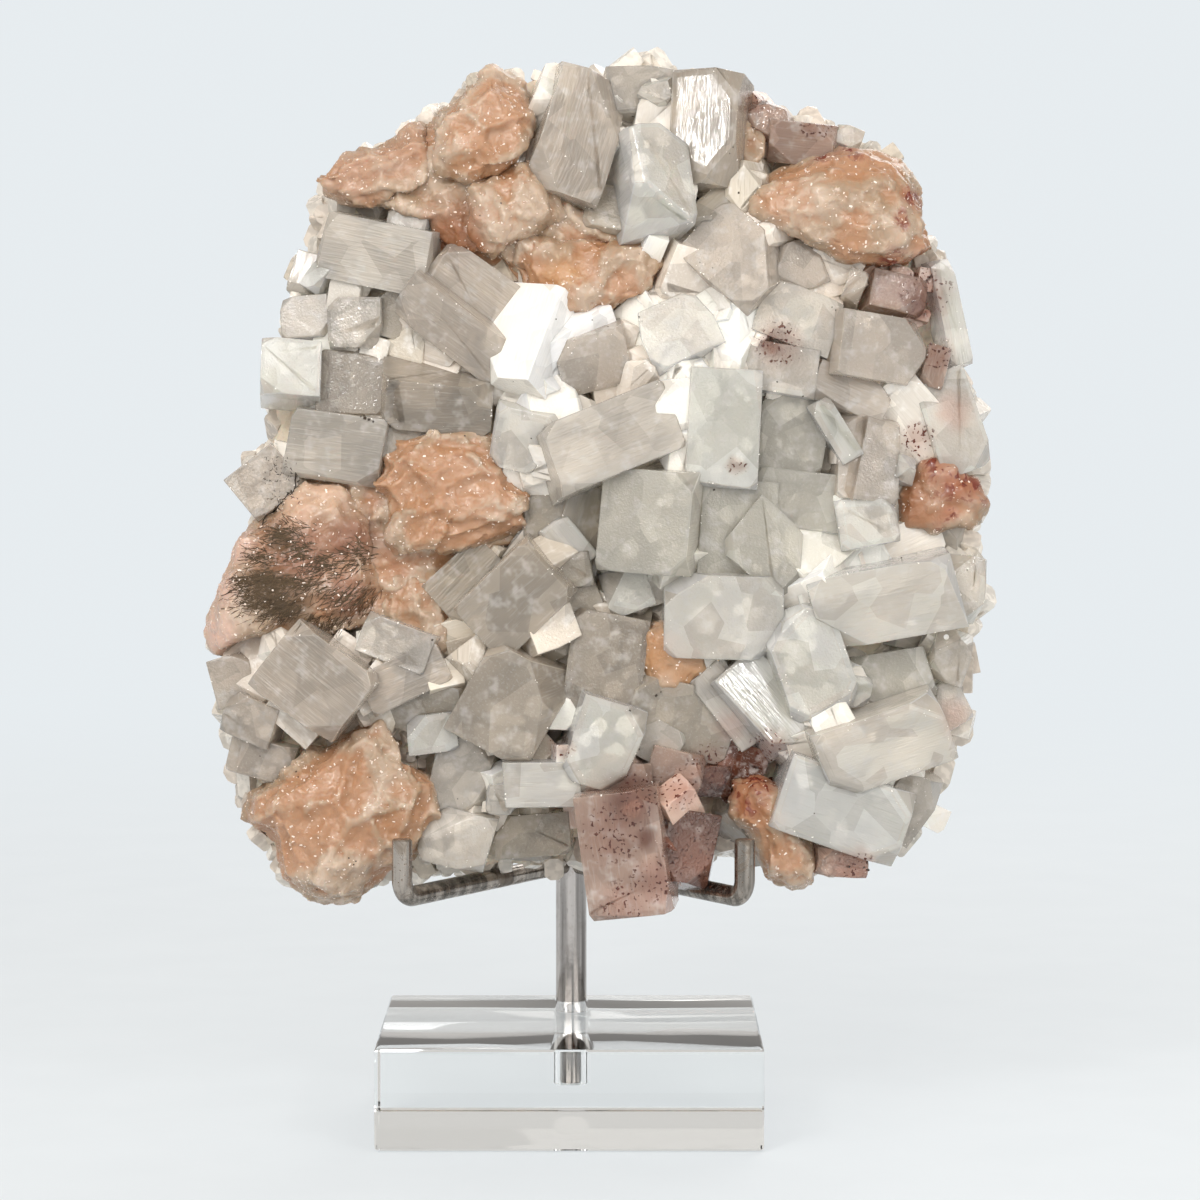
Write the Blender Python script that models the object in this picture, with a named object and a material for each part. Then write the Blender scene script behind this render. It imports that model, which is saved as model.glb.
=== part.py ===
"""Apophyllite and stilbite cluster on a bent-rod display stand with a clear block base.

The cluster grew as one piece, so it is one solid: a plate of intergrown mineral, the
apophyllite crystals that stand on it and the peach stilbite masses between them.
Sizes are millimetres. The cluster is laid out on its face plane, which leans back a
little in the stand: u runs to the right, v up the face and out toward the viewer.
"""
import math
import random

import bmesh
import bpy
from mathutils import Matrix, Vector, noise

MM = 0.001

# Stand: a clear block, a steel post in it, two bent arms and a rest behind the cluster
BASE_WIDTH = 95.0
BASE_DEPTH = 80.0
BASE_HEIGHT = 25.0
BASE_CHAMFER = 1.2
HOLE_DEPTH = 18.0
GAP = 0.3
POST_RADIUS = 4.0
POST_Y = 32.0
POST_SIDES = 32
DRILL_RUN = 5.0
SMOOTH_ANGLE = math.radians(35.0)
ROD_RADIUS = 2.5
ROD_SIDES = 16
ARM_Z = 61.0
HOOK_X = {"left_arm": -40.8, "right_arm": 42.8}
HOOK_Y = -32.4
HOOK_TOP_Z = 75.5
HOOK_BEND = 4.5
BEND_STEPS = 6
REST_RADIUS = 3.0
REST_LENGTH = 64.0
REST_Z = 150.0
REST_Y = 29.5

# Face plane of the cluster: its aim point, its lean and the distance it is read from
FACE_X = 7.5
FACE_Y = -4.0
FACE_Z = 132.0
FACE_V = -25.0
LEAN = math.radians(4.0)
EYE = 1000.0

# Apophyllite: a square prism whose corners are cut by pyramid faces
PYRAMID_ANGLE = math.radians(60.0)
TAPER = 0.96
GROWTH_SEED = 11
SWAY = 6.0
OUTWARD_LEAN = 10.0
PLATE_HALF = 100.0

# Small prisms round the side of the plate, which point outward
RIM_STEP = 17.0
RIM_REACH = -1.0
RIM_LENGTH = 18.0
RIM_WIDTH = (8.0, 13.0)
RIM_OUT = (-20.0, -4.0)
RIM_TURN = 20.0
RIM_PITCH = (-25.0, 10.0)
RIM_ROLL = 40.0
RIM_CUT = 2.5

# Plate of intergrown mineral behind the crystals: levels of its rim, crown and back. The
# shares are of the outline, from the middle outward in front and back inward behind
PLATE_EDGE = -6.0
PLATE_CROWN = 3.0
PLATE_STEEP = 2.0
PLATE_FRONT_SHARES = (0.25, 0.5, 0.75, 0.92, 1.0)
PLATE_SIDE = (1.0, -16.0)
PLATE_BACK_EDGE = (0.93, -24.0)
PLATE_BACK = -30.0
PLATE_BACK_SHARES = (0.8, 0.5, 0.25)
PLATE_LUMP = 2.8
LUMP_SIZE = 17.0

# Stilbite masses: steep domes whose roots are sunk into the plate
MASS_STEEP = 4.0
MASS_FRONT_SHARES = (0.35, 0.7, 0.92)
MASS_CAP = 0.5
MASS_SIDE = 6.0
MASS_ROOT_SHARE = 0.8
MASS_ROOT = -14.0
MASS_LUMP = 1.8
MASS_LUMP_SIZE = 10.0

PLATE_RIM = [
    (-76, 45), (-74, 58), (-68, 72), (-69, 80), (-58, 85), (-47, 92), (-36, 98), (-27, 105),
    (-14, 106), (0, 107), (16, 107), (29, 105), (38, 98), (50, 94), (62, 91), (72, 84),
    (79, 74), (84, 60), (87, 45), (90, 30), (94, 14), (95, 0), (92, -12), (95, -22),
    (91, -38), (89, -54), (85, -66), (80, -76), (70, -87), (60, -91), (44, -91), (32, -86),
    (12, -88), (-6, -90), (-24, -92), (-42, -92), (-54, -94), (-68, -97), (-80, -91),
    (-86, -78), (-89, -68), (-91, -55), (-94, -42), (-95, -32), (-91, -20), (-84, -6),
    (-88, 4), (-82, 18), (-81, 32),
]

# Stilbite masses: outline on the face plane, level of the rim and of the crown
MASSES = {
    "upper_left_crust": ([(-73, 80), (-66, 86.5), (-53, 89.5), (-45, 94), (-39, 88), (-40, 79),
                          (-47, 75), (-58, 71), (-68, 75)], 3, 12),
    "upper_left_lump": ([(-41, 96), (-33, 104), (-27, 108), (-19, 104), (-15, 97), (-16, 86),
                         (-22, 80), (-33, 77), (-42, 80), (-43, 88)], 6, 19),
    "upper_sheaf": ([(-34, 80), (-17, 87), (-10, 77), (-9, 71), (-17, 65), (-27, 60),
                     (-34, 66)], 6, 17),
    "recess_crust": ([(-45, 78), (-36, 79), (-30, 68), (-27, 60), (-34, 57), (-42, 58),
                      (-46, 66)], 2, 6),
    "centre_band": ([(-20, 69), (-10, 66), (5, 67), (17, 67), (18, 58), (12, 50), (1, 46),
                     (-9, 44), (-14, 35), (-19, 32), (-20, 42), (-19, 52), (-23, 60)], 6, 15),
    "upper_right": ([(35, 77), (43, 83), (58, 88), (68, 89), (76, 86), (82, 74), (85, 62),
                     (76, 57), (62, 57), (52, 63), (41, 67), (35, 71)], 8, 21),
    "top_pocket": ([(32, 92), (37, 96), (43, 90), (41, 81), (34, 78), (29, 82)], 3, 8),
    "left_middle": ([(-58, 9), (-53, 18), (-42, 18), (-28, 18), (-20, 8), (-14, 1), (-17, -8),
                     (-28, -12.5), (-40, -15.5), (-49, -17), (-55, -11), (-55, 0), (-60, 4)],
                    6, 18),
    "left_middle_foot": ([(-53, -16), (-41, -15), (-37, -25), (-35, -34), (-38, -39), (-47, -36),
                          (-56, -29), (-56, -21)], 4, 10),
    "moss_fan": ([(-91, -9), (-84, -4), (-74, 5), (-62, 4), (-57, -3), (-55, -14), (-52, -22),
                  (-56, -29), (-66, -34), (-88, -36), (-97, -39), (-98, -31), (-96, -22)], 2, 14),
    "small_centre": ([(9, -31), (15, -29), (20, -33), (28, -39), (28, -43), (20, -49), (13, -50),
                      (10, -42)], 8, 15),
    "right_edge": ([(73, 2), (79, 10), (86, 12), (96, 6), (98, -1), (95, -7), (84, -9),
                    (74, -8)], 1, 8),
    "lower_left": ([(-89, -74), (-82, -70), (-73, -64), (-62, -56), (-54, -52), (-48, -62),
                    (-39, -70), (-39, -80), (-46, -90), (-57, -98), (-69, -101), (-80, -96),
                    (-84, -86), (-90, -80)], 5, 17),
    "lower_right": ([(32, -70), (38, -66), (46, -70), (50, -82), (55, -88), (54, -96), (48, -98),
                     (41, -96), (38, -85), (31, -79)], 3, 16),
}

# Apophyllite crystals. Each row: habit, centre of the front face (u, v, out), turn of its
# long side, pitch (far end toward the viewer), roll (upper side toward the viewer), length,
# width, depth, and the cut on each front corner in turn from the far upper one, clockwise.
PRISM = "prism"
CAP = "cap"
CRYSTALS = {
    "top_tall": (PRISM, -4.5, 92, 16, 72, 4, 14, 33, 19.5, 24, (3, 12, 4, 9)),
    "top_recess": (CAP, 10.5, 103, 7, 4, 0, -8, 18, 13, 16, (2, 2, 2, 2)),
    "top_recess_tip": (CAP, 15, 103.5, 11, 60, 0, 0, 9, 8, 12, (4, 3, 3, 4)),
    "top_right": (PRISM, 25.8, 94, 15, 88, 0, -12, 30, 17.5, 24, (1.5, 6, 8, 8)),
    "upper_white": (CAP, 16, 82, 28, 98, 0, 16, 27, 15.5, 26, (3.5, 5.5, 3, 12.5)),
    "under_white": (CAP, 5, 73, 12, -12, 0, -15, 14, 8, 14, (1.5, 1.5, 1.5, 1.5)),
    "ear": (CAP, 34, 61.5, 21, -42, 0, 0, 23, 18, 22, (11, 2, 4, 4)),
    "ear_right": (CAP, 49.5, 58.5, 13, 20, 0, 0, 14, 13, 16, (4, 4, 4, 4)),
    "ear_top": (PRISM, 28, 74, 15, 40, 0, -20, 15, 7, 14, (2, 2, 2, 2)),
    "top_edge_a": (CAP, 43, 95.5, 5, -30, 0, 0, 13, 9, 14, (3, 3, 3, 3)),
    "top_edge_b": (PRISM, 51, 89, 7, -5, 0, 10, 18, 11, 16, (3, 3, 3, 3)),
    "top_edge_c": (CAP, 62.5, 91, 3, -20, 0, 0, 7, 5.5, 10, (1.5, 1.5, 1.5, 1.5)),
    "left_top": (PRISM, -57, 61.5, 14, -14, 0, 8, 29, 17, 22, (4, 3, 4, 3)),
    "left_top_small": (CAP, -48.5, 70, 9, -10, 0, 0, 11, 7.5, 14, (2, 2, 2, 2)),
    "left_rim_a": (PRISM, -74, 57, 5, 75, 0, 0, 11, 7, 14, (3, 2, 2, 3)),
    "left_rim_b": (CAP, -71, 56.5, 10, 60, 0, 0, 8.5, 5, 12, (1.5, 1.5, 1.5, 1.5)),
    "left_square": (CAP, -74, 46, 8, 3, 0, 0, 12.5, 11, 18, (2, 2, 2, 2)),
    "left_square_b": (CAP, -61.5, 44.5, 12, 0, 0, 0, 14, 13, 20, (2, 6, 1, 1)),
    "left_bright": (CAP, -77.3, 33.5, 14, -3, -5, 0, 15.5, 14.5, 20, (3, 4, 1.5, 1.5)),
    "left_square_c": (CAP, -61.5, 29.5, 9, -5, 0, 0, 15.5, 12.5, 18, (1, 2, 4, 1)),
    "left_chip": (CAP, -69.5, 26.5, 8, 40, 0, 0, 6, 6, 12, (3, 3, 3, 3)),
    "left_glassy": (PRISM, -66.5, 13, 12, -10, 0, 0, 21, 14, 20, (4, 5, 4, 3)),
    "left_stained": (CAP, -84, 4.5, 5, 38, 0, 0, 16, 14, 18, (3, 3, 3, 3)),
    "left_lying": (PRISM, -41, 22.7, 20, -4, 0, 30, 27, 12.5, 18, (5, 3, 2, 2)),
    "left_lying_under": (CAP, -45, 15, 11, -5, 0, 0, 18, 6, 12, (2, 2, 2, 2)),
    "left_sliver": (CAP, -52.5, 46.5, 9, 75, 0, 0, 8, 5, 12, (1, 1, 1, 1)),
    "ridge": (PRISM, -37, 42.5, 21, -36, 0, 22, 31, 11, 20, (3, 2, 2, 3)),
    "ridge_back": (PRISM, -31, 49, 14, -36, 0, 0, 27, 17, 20, (6, 3, 2, 5)),
    "bright_square": (CAP, -19.5, 14.5, 22, -12, 0, 20, 15, 14.5, 22, (2, 6, 2, 2)),
    "centre_upper": (CAP, -1, 34.5, 18, 15, 0, 16, 18, 13, 22, (3, 4, 3, 3)),
    "centre_white": (CAP, 19.5, 43, 21, 25, 0, -12, 18, 15, 24, (3, 2, 2, 3)),
    "hero_prism": (PRISM, 3.6, 16, 30, 21.5, -5, 0, 33, 17, 24, (1, 1, 2, 2)),
    "white_mass": (CAP, 31, 18, 24, 87, 0, 0, 29, 17, 26, (3, 3, 3, 3)),
    "green_block": (CAP, 11, -5.5, 27, 84, 0, -12, 25, 22.5, 28, (1.5, 5, 5, 2)),
    "dark_small_a": (CAP, -12.5, -4.5, 10, 0, 0, 0, 10, 8, 12, (1, 1, 1, 1)),
    "dark_small_b": (PRISM, -8, -11, 12, -50, 0, 0, 10, 5, 12, (1, 1, 1, 1)),
    "dark_small_c": (CAP, -6.5, -17.5, 12, 10, 0, 0, 5, 5, 10, (1, 1, 1, 1)),
    "right_dusty": (CAP, 45, 33, 17, -8, 0, 0, 18, 11, 20, (3, 3, 4, 4)),
    "right_dusty_b": (CAP, 49.5, 46, 15, -20, 0, 0, 17, 11, 20, (4, 3, 3, 3)),
    "right_big": (CAP, 71, 38, 17, -8, -16, 0, 24, 17, 22, (4, 5, 1, 2)),
    "right_under_big": (PRISM, 63, 27, 14, -25, 0, 0, 17, 6, 16, (2, 2, 2, 2)),
    "right_nib": (CAP, 64, 54, 13, 70, 0, 0, 8, 5, 12, (2, 2, 2, 2)),
    "right_sliver": (PRISM, 59, 17.5, 19, -58, 0, 0, 16, 4.5, 14, (1.5, 1.5, 1.5, 1.5)),
    "right_upright": (CAP, 67.5, 10.5, 15, 84, 0, 0, 18, 12, 20, (3, 3, 2, 3)),
    "right_triangle": (CAP, 75.5, 8.5, 13, -10, 0, 0, 8, 7, 14, (3, 3, 3, 3)),
    "right_glassy": (CAP, 48, 16, 11, 80, 0, 0, 20, 14, 18, (3, 3, 3, 3)),
    "right_side_band": (PRISM, 88, 47, 4, -80, 0, 0, 28, 6, 20, (2, 2, 2, 2)),
    "right_cream": (CAP, 88.5, 19.5, 7, -72, 0, 0, 27, 14, 20, (6, 2, 5, 2)),
    "right_striated": (PRISM, 84, 33.5, 9, 75, 0, 0, 11, 6, 14, (1.5, 1.5, 1.5, 1.5)),
    "right_white": (CAP, 67, -5, 16, 10, 0, 0, 14, 12, 18, (3, 3, 3, 3)),
    "right_clear_low": (CAP, 50, 0, 13, -5, 0, 0, 20, 11, 18, (2, 2, 2, 2)),
    "right_clear_wide": (CAP, 34.5, -8, 16, 86, 0, 0, 25, 18, 22, (3, 3, 3, 3)),
    "right_clear_tip": (CAP, 43, -12.3, 20, -40, 0, 0, 20, 16, 22, (9, 3, 3, 3)),
    "long_white": (PRISM, 72, -26, 23, 12, 0, 0, 38, 19, 24, (3, 2, 9, 2)),
    "long_white_end": (CAP, 92, -22, 8, 80, 0, 0, 17, 10, 18, (3, 3, 3, 3)),
    "white_block": (CAP, 31, -29.5, 23, 0, 0, 0, 29, 20, 26, (5, 8, 2, 8)),
    "right_leaning": (CAP, 53, -40, 24, -68, 0, 0, 27, 17, 24, (5, 5, 9, 5)),
    "right_streaked": (PRISM, 42, -50, 18, -48, 0, -15, 24, 13, 20, (3, 3, 3, 3)),
    "right_pink_strip": (PRISM, 33, -52, 12, -50, 0, 0, 20, 6, 14, (1.5, 1.5, 1.5, 1.5)),
    "right_knob": (CAP, 63.5, -48, 17, -10, 0, 0, 9, 8, 14, (2, 2, 2, 2)),
    "right_olive": (CAP, 74, -44, 10, 10, 0, 0, 20, 13, 16, (2, 2, 2, 2)),
    "right_rim_a": (CAP, 88, -39, 8, 70, 0, 0, 14, 10, 16, (3, 3, 3, 3)),
    "right_rim_b": (CAP, 88, -51, 5, -60, 0, 0, 12, 8, 14, (2, 2, 2, 2)),
    "low_right_prism": (PRISM, 71.5, -62, 21, 20, 0, 0, 34, 18, 22, (6, 3, 6, 3)),
    "low_right_pale": (PRISM, 61, -78, 18, -20, 0, 0, 34, 20, 22, (3, 6, 3, 2)),
    "low_right_rim": (CAP, 77, -77, 12, 55, 0, 0, 18, 12, 18, (3, 3, 3, 3)),
    "low_right_foot": (CAP, 61, -91, 12, -5, 0, 0, 13, 7, 16, (2, 2, 2, 2)),
    "low_red_a": (CAP, 28.5, -70.5, 9, 0, 0, 0, 9, 8, 12, (1.5, 1.5, 1.5, 1.5)),
    "low_olive": (CAP, 20.5, -55, 12, -15, 0, 0, 24, 15, 18, (3, 3, 3, 3)),
    "low_right_small": (CAP, 51, -63.5, 10, -12, 0, 0, 10, 7, 14, (1.5, 1.5, 1.5, 1.5)),
    "turned_prism": (PRISM, -21.5, -25.5, 25, 44, 0, 0, 24.5, 17.5, 24, (2, 1, 2, 1)),
    "triangle_block": (CAP, -23, -51.5, 24, 62, 0, 0, 24.5, 22, 24, (3, 12, 2, 2)),
    "small_triangle": (CAP, 7, -23, 12, 20, 0, 0, 8, 7, 14, (2, 1, 1, 4)),
    "low_grey": (CAP, 1.5, -41, 14, 80, 0, 0, 22, 16, 18, (2, 3, 3, 3)),
    "low_white": (CAP, 1.5, -61.5, 27, 75, 0, 0, 21, 16, 24, (4, 6, 7, 3)),
    "low_bar": (PRISM, -14.5, -71.3, 22, 3, 0, 0, 18, 10, 16, (1, 1, 4, 1)),
    "low_bar_side": (CAP, -25, -75, 15, 0, 0, 0, 8, 8, 14, (1, 1, 1, 1)),
    "hanging_block": (PRISM, 5.6, -89, 26, -81, 0, 0, 32, 21, 20, (1, 1, 3, 3)),
    "hanging_arch": (CAP, 7.5, -71, 22, 90, 0, 0, 9, 10, 16, (3, 3, 3, 3)),
    "low_red_block": (CAP, 22.5, -86, 18, 80, -18, 0, 20, 13, 12, (3, 3, 3, 3)),
    "low_dusted": (CAP, 18.5, -69.5, 16, -15, 0, 0, 13, 12.5, 16, (3, 3, 3, 3)),
    "low_chip": (CAP, 14, -60.5, 13, -30, 0, 0, 9, 7, 12, (1.5, 1.5, 1.5, 1.5)),
    "low_left_grey": (CAP, -35, -69, 9, 80, 0, 0, 22, 15, 18, (4, 4, 4, 4)),
    "low_left_foot": (CAP, -36, -85, 11, -15, 0, 0, 18, 15, 18, (4, 4, 4, 4)),
    "left_slab": (PRISM, -72, -45.5, 21, -38, 0, 0, 26, 21, 22, (4, 6, 4, 5)),
    "left_slab_tail": (PRISM, -49, -44.5, 16, 25, 0, 0, 21, 10, 16, (2, 2, 2, 2)),
    "left_sugary": (CAP, -51, -36, 16, -20, 0, 0, 18, 9, 16, (2, 2, 2, 2)),
    "left_rim_c": (CAP, -92, -45, 5, -75, 0, 0, 13, 11, 16, (2, 2, 2, 2)),
    "left_rim_d": (CAP, -88, -55, 8, -20, 0, 0, 14, 11, 16, (2, 2, 2, 2)),
    "left_rim_e": (CAP, -85, -65, 5, -15, 0, 0, 17, 10, 14, (2, 2, 2, 2)),
    "recess_tall": (PRISM, -4, -7, 8, 74, 0, 20, 18, 9, 14, (2, 2, 2, 2)),
    "recess_dark": (CAP, -13, -14, 6, -35, 0, 0, 16, 11, 12, (2, 2, 2, 2)),
    "recess_olive": (CAP, -8, -29, 10, 24, -12, 0, 16, 14, 14, (2, 2, 3, 2)),
    "recess_brown": (PRISM, -33, -20, 9, 42, 0, 0, 16, 10, 14, (2, 2, 2, 2)),
    "recess_low": (CAP, -44, -52, 10, -20, 0, 14, 15, 12, 14, (2, 2, 2, 2)),
    "recess_low_tip": (CAP, -42, -58.5, 13, 8, 0, 0, 9, 6, 12, (3, 1, 1, 3)),
    "recess_foot": (CAP, -17, -84, 5, 4, 0, 0, 20, 11, 14, (3, 3, 3, 3)),
    "recess_red": (CAP, 75, 52, 7, -10, -8, 0, 15, 10, 12, (2, 2, 2, 2)),
}

RIGHT = Vector((1.0, 0.0, 0.0))
UP = Vector((0.0, math.sin(LEAN), math.cos(LEAN)))
NEAR = Vector((0.0, -math.cos(LEAN), math.sin(LEAN)))
AIM = Vector((FACE_X, FACE_Y, FACE_Z))


def place(u, v, out):
    """World point, in millimetres, that is seen at (u, v) and stands out from the face plane."""
    on_face = AIM + RIGHT * u + UP * (v - FACE_V)
    eye = AIM + NEAR * EYE
    return on_face + (eye - on_face) * (out / EYE)


def face_frame(turn, pitch, roll):
    """Rotation from a crystal's own axes to the world."""
    face = Matrix((RIGHT, UP, NEAR)).transposed()
    spin = Matrix.Rotation(math.radians(turn), 3, "Z")
    lift = Matrix.Rotation(math.radians(-pitch), 3, "Y")
    bank = Matrix.Rotation(math.radians(roll), 3, "X")
    return face @ spin @ lift @ bank


def clear_scene():
    for obj in list(bpy.data.objects):
        bpy.data.objects.remove(obj, do_unlink=True)


def make_material(name, colour, roughness, metallic=0.0, transmission=0.0):
    material = bpy.data.materials.new(name)
    material.use_nodes = True
    shader = material.node_tree.nodes["Principled BSDF"]
    shader.inputs["Base Color"].default_value = (*colour, 1.0)
    shader.inputs["Roughness"].default_value = roughness
    shader.inputs["Metallic"].default_value = metallic
    shader.inputs["Transmission Weight"].default_value = transmission
    material.diffuse_color = (*colour, 1.0)
    return material


def finish_object(name, bm, material, collection=None):
    """Turn a bmesh in millimetres into a named object in metres."""
    bmesh.ops.scale(bm, vec=(MM, MM, MM), verts=bm.verts)
    bmesh.ops.recalc_face_normals(bm, faces=bm.faces)
    mesh = bpy.data.meshes.new(name)
    bm.to_mesh(mesh)
    bm.free()
    mesh.materials.append(material)
    obj = bpy.data.objects.new(name, mesh)
    (collection or bpy.context.scene.collection).objects.link(obj)
    return obj


def hide_as_guide(obj):
    obj.hide_render = True
    obj.display_type = "WIRE"


def cut_away(bm, point, normal):
    """Cut a convex solid by a plane and close the cut."""
    parts = list(bm.verts) + list(bm.edges) + list(bm.faces)
    result = bmesh.ops.bisect_plane(
        bm, geom=parts, plane_co=point, plane_no=normal, clear_outer=True, dist=0.0001)
    rim = [item for item in result["geom_cut"] if isinstance(item, bmesh.types.BMEdge)]
    if len(rim) >= 3:
        bmesh.ops.contextual_create(bm, geom=rim)


def corner_cuts(bm, habit, length, width, depth, cuts):
    """Cut the front corners by pyramid faces, and the hidden far corners of a prism."""
    across = math.sin(PYRAMID_ANGLE) / math.sqrt(2.0)
    along = math.cos(PYRAMID_ANGLE)
    ends = ((1, 1), (1, -1), (-1, -1), (-1, 1))
    for (sx, sy), size in zip(ends, cuts):
        corner = Vector((sx * length / 2, sy * width / 2, 0.0))
        if habit == CAP:
            normal = Vector((sx * across, sy * across, along))
        else:
            normal = Vector((sx * along, sy * across, across))
        cut_away(bm, corner - normal * (size * across), normal)
        if habit == PRISM:
            far_corner = corner - Vector((0.0, 0.0, depth))
            far_normal = Vector((sx * along, sy * across, -across))
            cut_away(bm, far_corner - far_normal * (size * across), far_normal)


def growth_lean(u, v, sway):
    """Crystals lean outward from the middle of the plate, each with a sway of its own."""
    along_u = u * OUTWARD_LEAN / PLATE_HALF + sway[0]
    along_v = v * OUTWARD_LEAN / PLATE_HALF + sway[1]
    to_right = Matrix.Rotation(math.radians(along_u), 3, UP)
    to_top = Matrix.Rotation(math.radians(-along_v), 3, RIGHT)
    return to_right @ to_top


def crystal_bmesh(row, sway):
    """One crystal: a tapered block with its corners cut, laid on its sight line."""
    habit, u, v, out, turn, pitch, roll, length, width, depth, cuts = row
    bm = bmesh.new()
    bmesh.ops.create_cube(bm, size=1.0)
    for vert in bm.verts:
        taper = TAPER if vert.co.z > 0 else 1.0
        vert.co = Vector((
            vert.co.x * length * taper, vert.co.y * width * taper, (vert.co.z - 0.5) * depth))
    corner_cuts(bm, habit, length * TAPER, width * TAPER, depth, cuts)
    rotation = growth_lean(u, v, sway) @ face_frame(turn, pitch, roll)
    centre = place(u, v, out)
    for vert in bm.verts:
        vert.co = centre + rotation @ vert.co
    return bm


def lump(point, size):
    """Smooth bumps, from minus one to one."""
    return noise.noise(Vector(point) / size)


def mound_bmesh(rim, front_rings, back_rings, front_tip, back_tip):
    """Closed solid over an outline: rings of points from the front tip to the back tip.

    A ring is (share of the outline, out). The tips close the rings.
    """
    mid_u = sum(point[0] for point in rim) / len(rim)
    mid_v = sum(point[1] for point in rim) / len(rim)
    bm = bmesh.new()
    rings = []
    for share, level in front_rings + back_rings:
        ring = []
        for u, v in rim:
            at_u = mid_u + (u - mid_u) * share
            at_v = mid_v + (v - mid_v) * share
            ring.append(bm.verts.new(place(at_u, at_v, level(at_u, at_v))))
        rings.append(ring)
    front = bm.verts.new(place(mid_u, mid_v, front_tip))
    back = bm.verts.new(place(mid_u, mid_v, back_tip))
    count = len(rim)
    for i in range(count):
        j = (i + 1) % count
        bm.faces.new((front, rings[0][i], rings[0][j]))
        bm.faces.new((back, rings[-1][j], rings[-1][i]))
        for inner, outer in zip(rings, rings[1:]):
            bm.faces.new((inner[i], outer[i], outer[j], inner[j]))
    return bm


def dome_level(edge, crown, share, steep, amount):
    """Height of a domed surface at a share of its outline, with bumps."""
    height = edge + (crown - edge) * math.sqrt(1.0 - share ** steep)

    def level(u, v):
        return height + amount * lump((u, v, crown), MASS_LUMP_SIZE)

    return level


def flat_level(height, amount=0.0):
    """Height of a near flat surface, with bumps that only fill it in."""
    return lambda u, v: height + amount * (1.0 + lump((u, v, height), LUMP_SIZE))


def plate_bmesh():
    """The intergrown plate: bumpy in front, steep at the rim, near flat behind."""
    front = [(share, dome_level(PLATE_EDGE, PLATE_CROWN, share, PLATE_STEEP, PLATE_LUMP))
             for share in PLATE_FRONT_SHARES]
    back = [(share, flat_level(level, PLATE_LUMP)) for share, level in (PLATE_SIDE, PLATE_BACK_EDGE)]
    back += [(share, flat_level(PLATE_BACK, PLATE_LUMP)) for share in PLATE_BACK_SHARES]
    return mound_bmesh(PLATE_RIM, front, back, PLATE_CROWN, PLATE_BACK + PLATE_LUMP)


def mass_bmesh(rim, edge, crown):
    """A stilbite mass: a lumpy dome that is sunk into the plate."""
    front = [(share, dome_level(edge, crown, share, MASS_STEEP, MASS_LUMP))
             for share in MASS_FRONT_SHARES]
    back = [(1.0, flat_level(edge - MASS_SIDE)), (MASS_ROOT_SHARE, flat_level(MASS_ROOT))]
    return mound_bmesh(rim, front, back, crown + MASS_CAP, MASS_ROOT - MASS_CAP)


def rim_rows(rng):
    """Rows for the prisms round the side, spaced along the rim of the plate."""
    rows = []
    travelled = 0.0
    for (u0, v0), (u1, v1) in zip(PLATE_RIM, PLATE_RIM[1:] + PLATE_RIM[:1]):
        travelled += math.hypot(u1 - u0, v1 - v0)
        if travelled < RIM_STEP:
            continue
        travelled -= RIM_STEP
        outward = math.atan2(v1, u1)
        inset = RIM_LENGTH / 2 - RIM_REACH
        u = u1 - inset * math.cos(outward)
        v = v1 - inset * math.sin(outward)
        width = rng.uniform(*RIM_WIDTH)
        out = rng.uniform(*RIM_OUT) + width / 2
        turn = math.degrees(outward) + rng.uniform(-RIM_TURN, RIM_TURN)
        pitch = rng.uniform(*RIM_PITCH)
        roll = rng.uniform(-RIM_ROLL, RIM_ROLL)
        rows.append((PRISM, u, v, out, turn, pitch, roll, RIM_LENGTH, width, width, (RIM_CUT,) * 4))
    return rows


def make_cluster(material):
    """Plate, crystals and stilbite masses, united in one solid."""
    grown = bpy.data.collections.new("grown_on_plate")
    bpy.context.scene.collection.children.link(grown)
    rng = random.Random(GROWTH_SEED)
    for name, (rim, edge, crown) in MASSES.items():
        hide_as_guide(finish_object("mass_" + name, mass_bmesh(rim, edge, crown), material, grown))
    for name, row in CRYSTALS.items():
        sway = (rng.uniform(-SWAY, SWAY), rng.uniform(-SWAY, SWAY))
        hide_as_guide(finish_object("crystal_" + name, crystal_bmesh(row, sway), material, grown))
    for row in rim_rows(rng):
        hide_as_guide(finish_object("side_crystal", crystal_bmesh(row, (0.0, 0.0)), material, grown))
    cluster = finish_object("crystal_cluster", plate_bmesh(), material)
    union = cluster.modifiers.new("grow_together", "BOOLEAN")
    union.operation = "UNION"
    union.operand_type = "COLLECTION"
    union.collection = grown
    union.solver = "EXACT"
    return cluster


def clear_of_stand(cluster, stand):
    """Keep the seats of the rods a gap away from the cluster."""
    for guide in stand:
        seat = cluster.modifiers.new(guide.name, "BOOLEAN")
        seat.operation = "DIFFERENCE"
        seat.object = guide
        seat.solver = "EXACT"


def shells(bm):
    """The closed shells of a mesh, each as a list of faces."""
    found = []
    seen = set()
    for start in bm.faces:
        if start in seen:
            continue
        seen.add(start)
        shell = [start]
        for face in shell:
            for edge in face.edges:
                for other in edge.link_faces:
                    if other not in seen:
                        seen.add(other)
                        shell.append(other)
        found.append(shell)
    return found


def fill_pockets(obj):
    """Keep only the outer shell: pockets sealed between crystals become solid mineral."""
    graph = bpy.context.evaluated_depsgraph_get()
    mesh = bpy.data.meshes.new_from_object(obj.evaluated_get(graph))
    bm = bmesh.new()
    bm.from_mesh(mesh)
    outer, *inner = sorted(shells(bm), key=len, reverse=True)
    for shell in inner:
        verts = {vert for face in shell for vert in face.verts}
        bmesh.ops.delete(bm, geom=list(verts), context="VERTS")
    bm.to_mesh(mesh)
    bm.free()
    obj.modifiers.clear()
    obj.data = mesh


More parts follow.
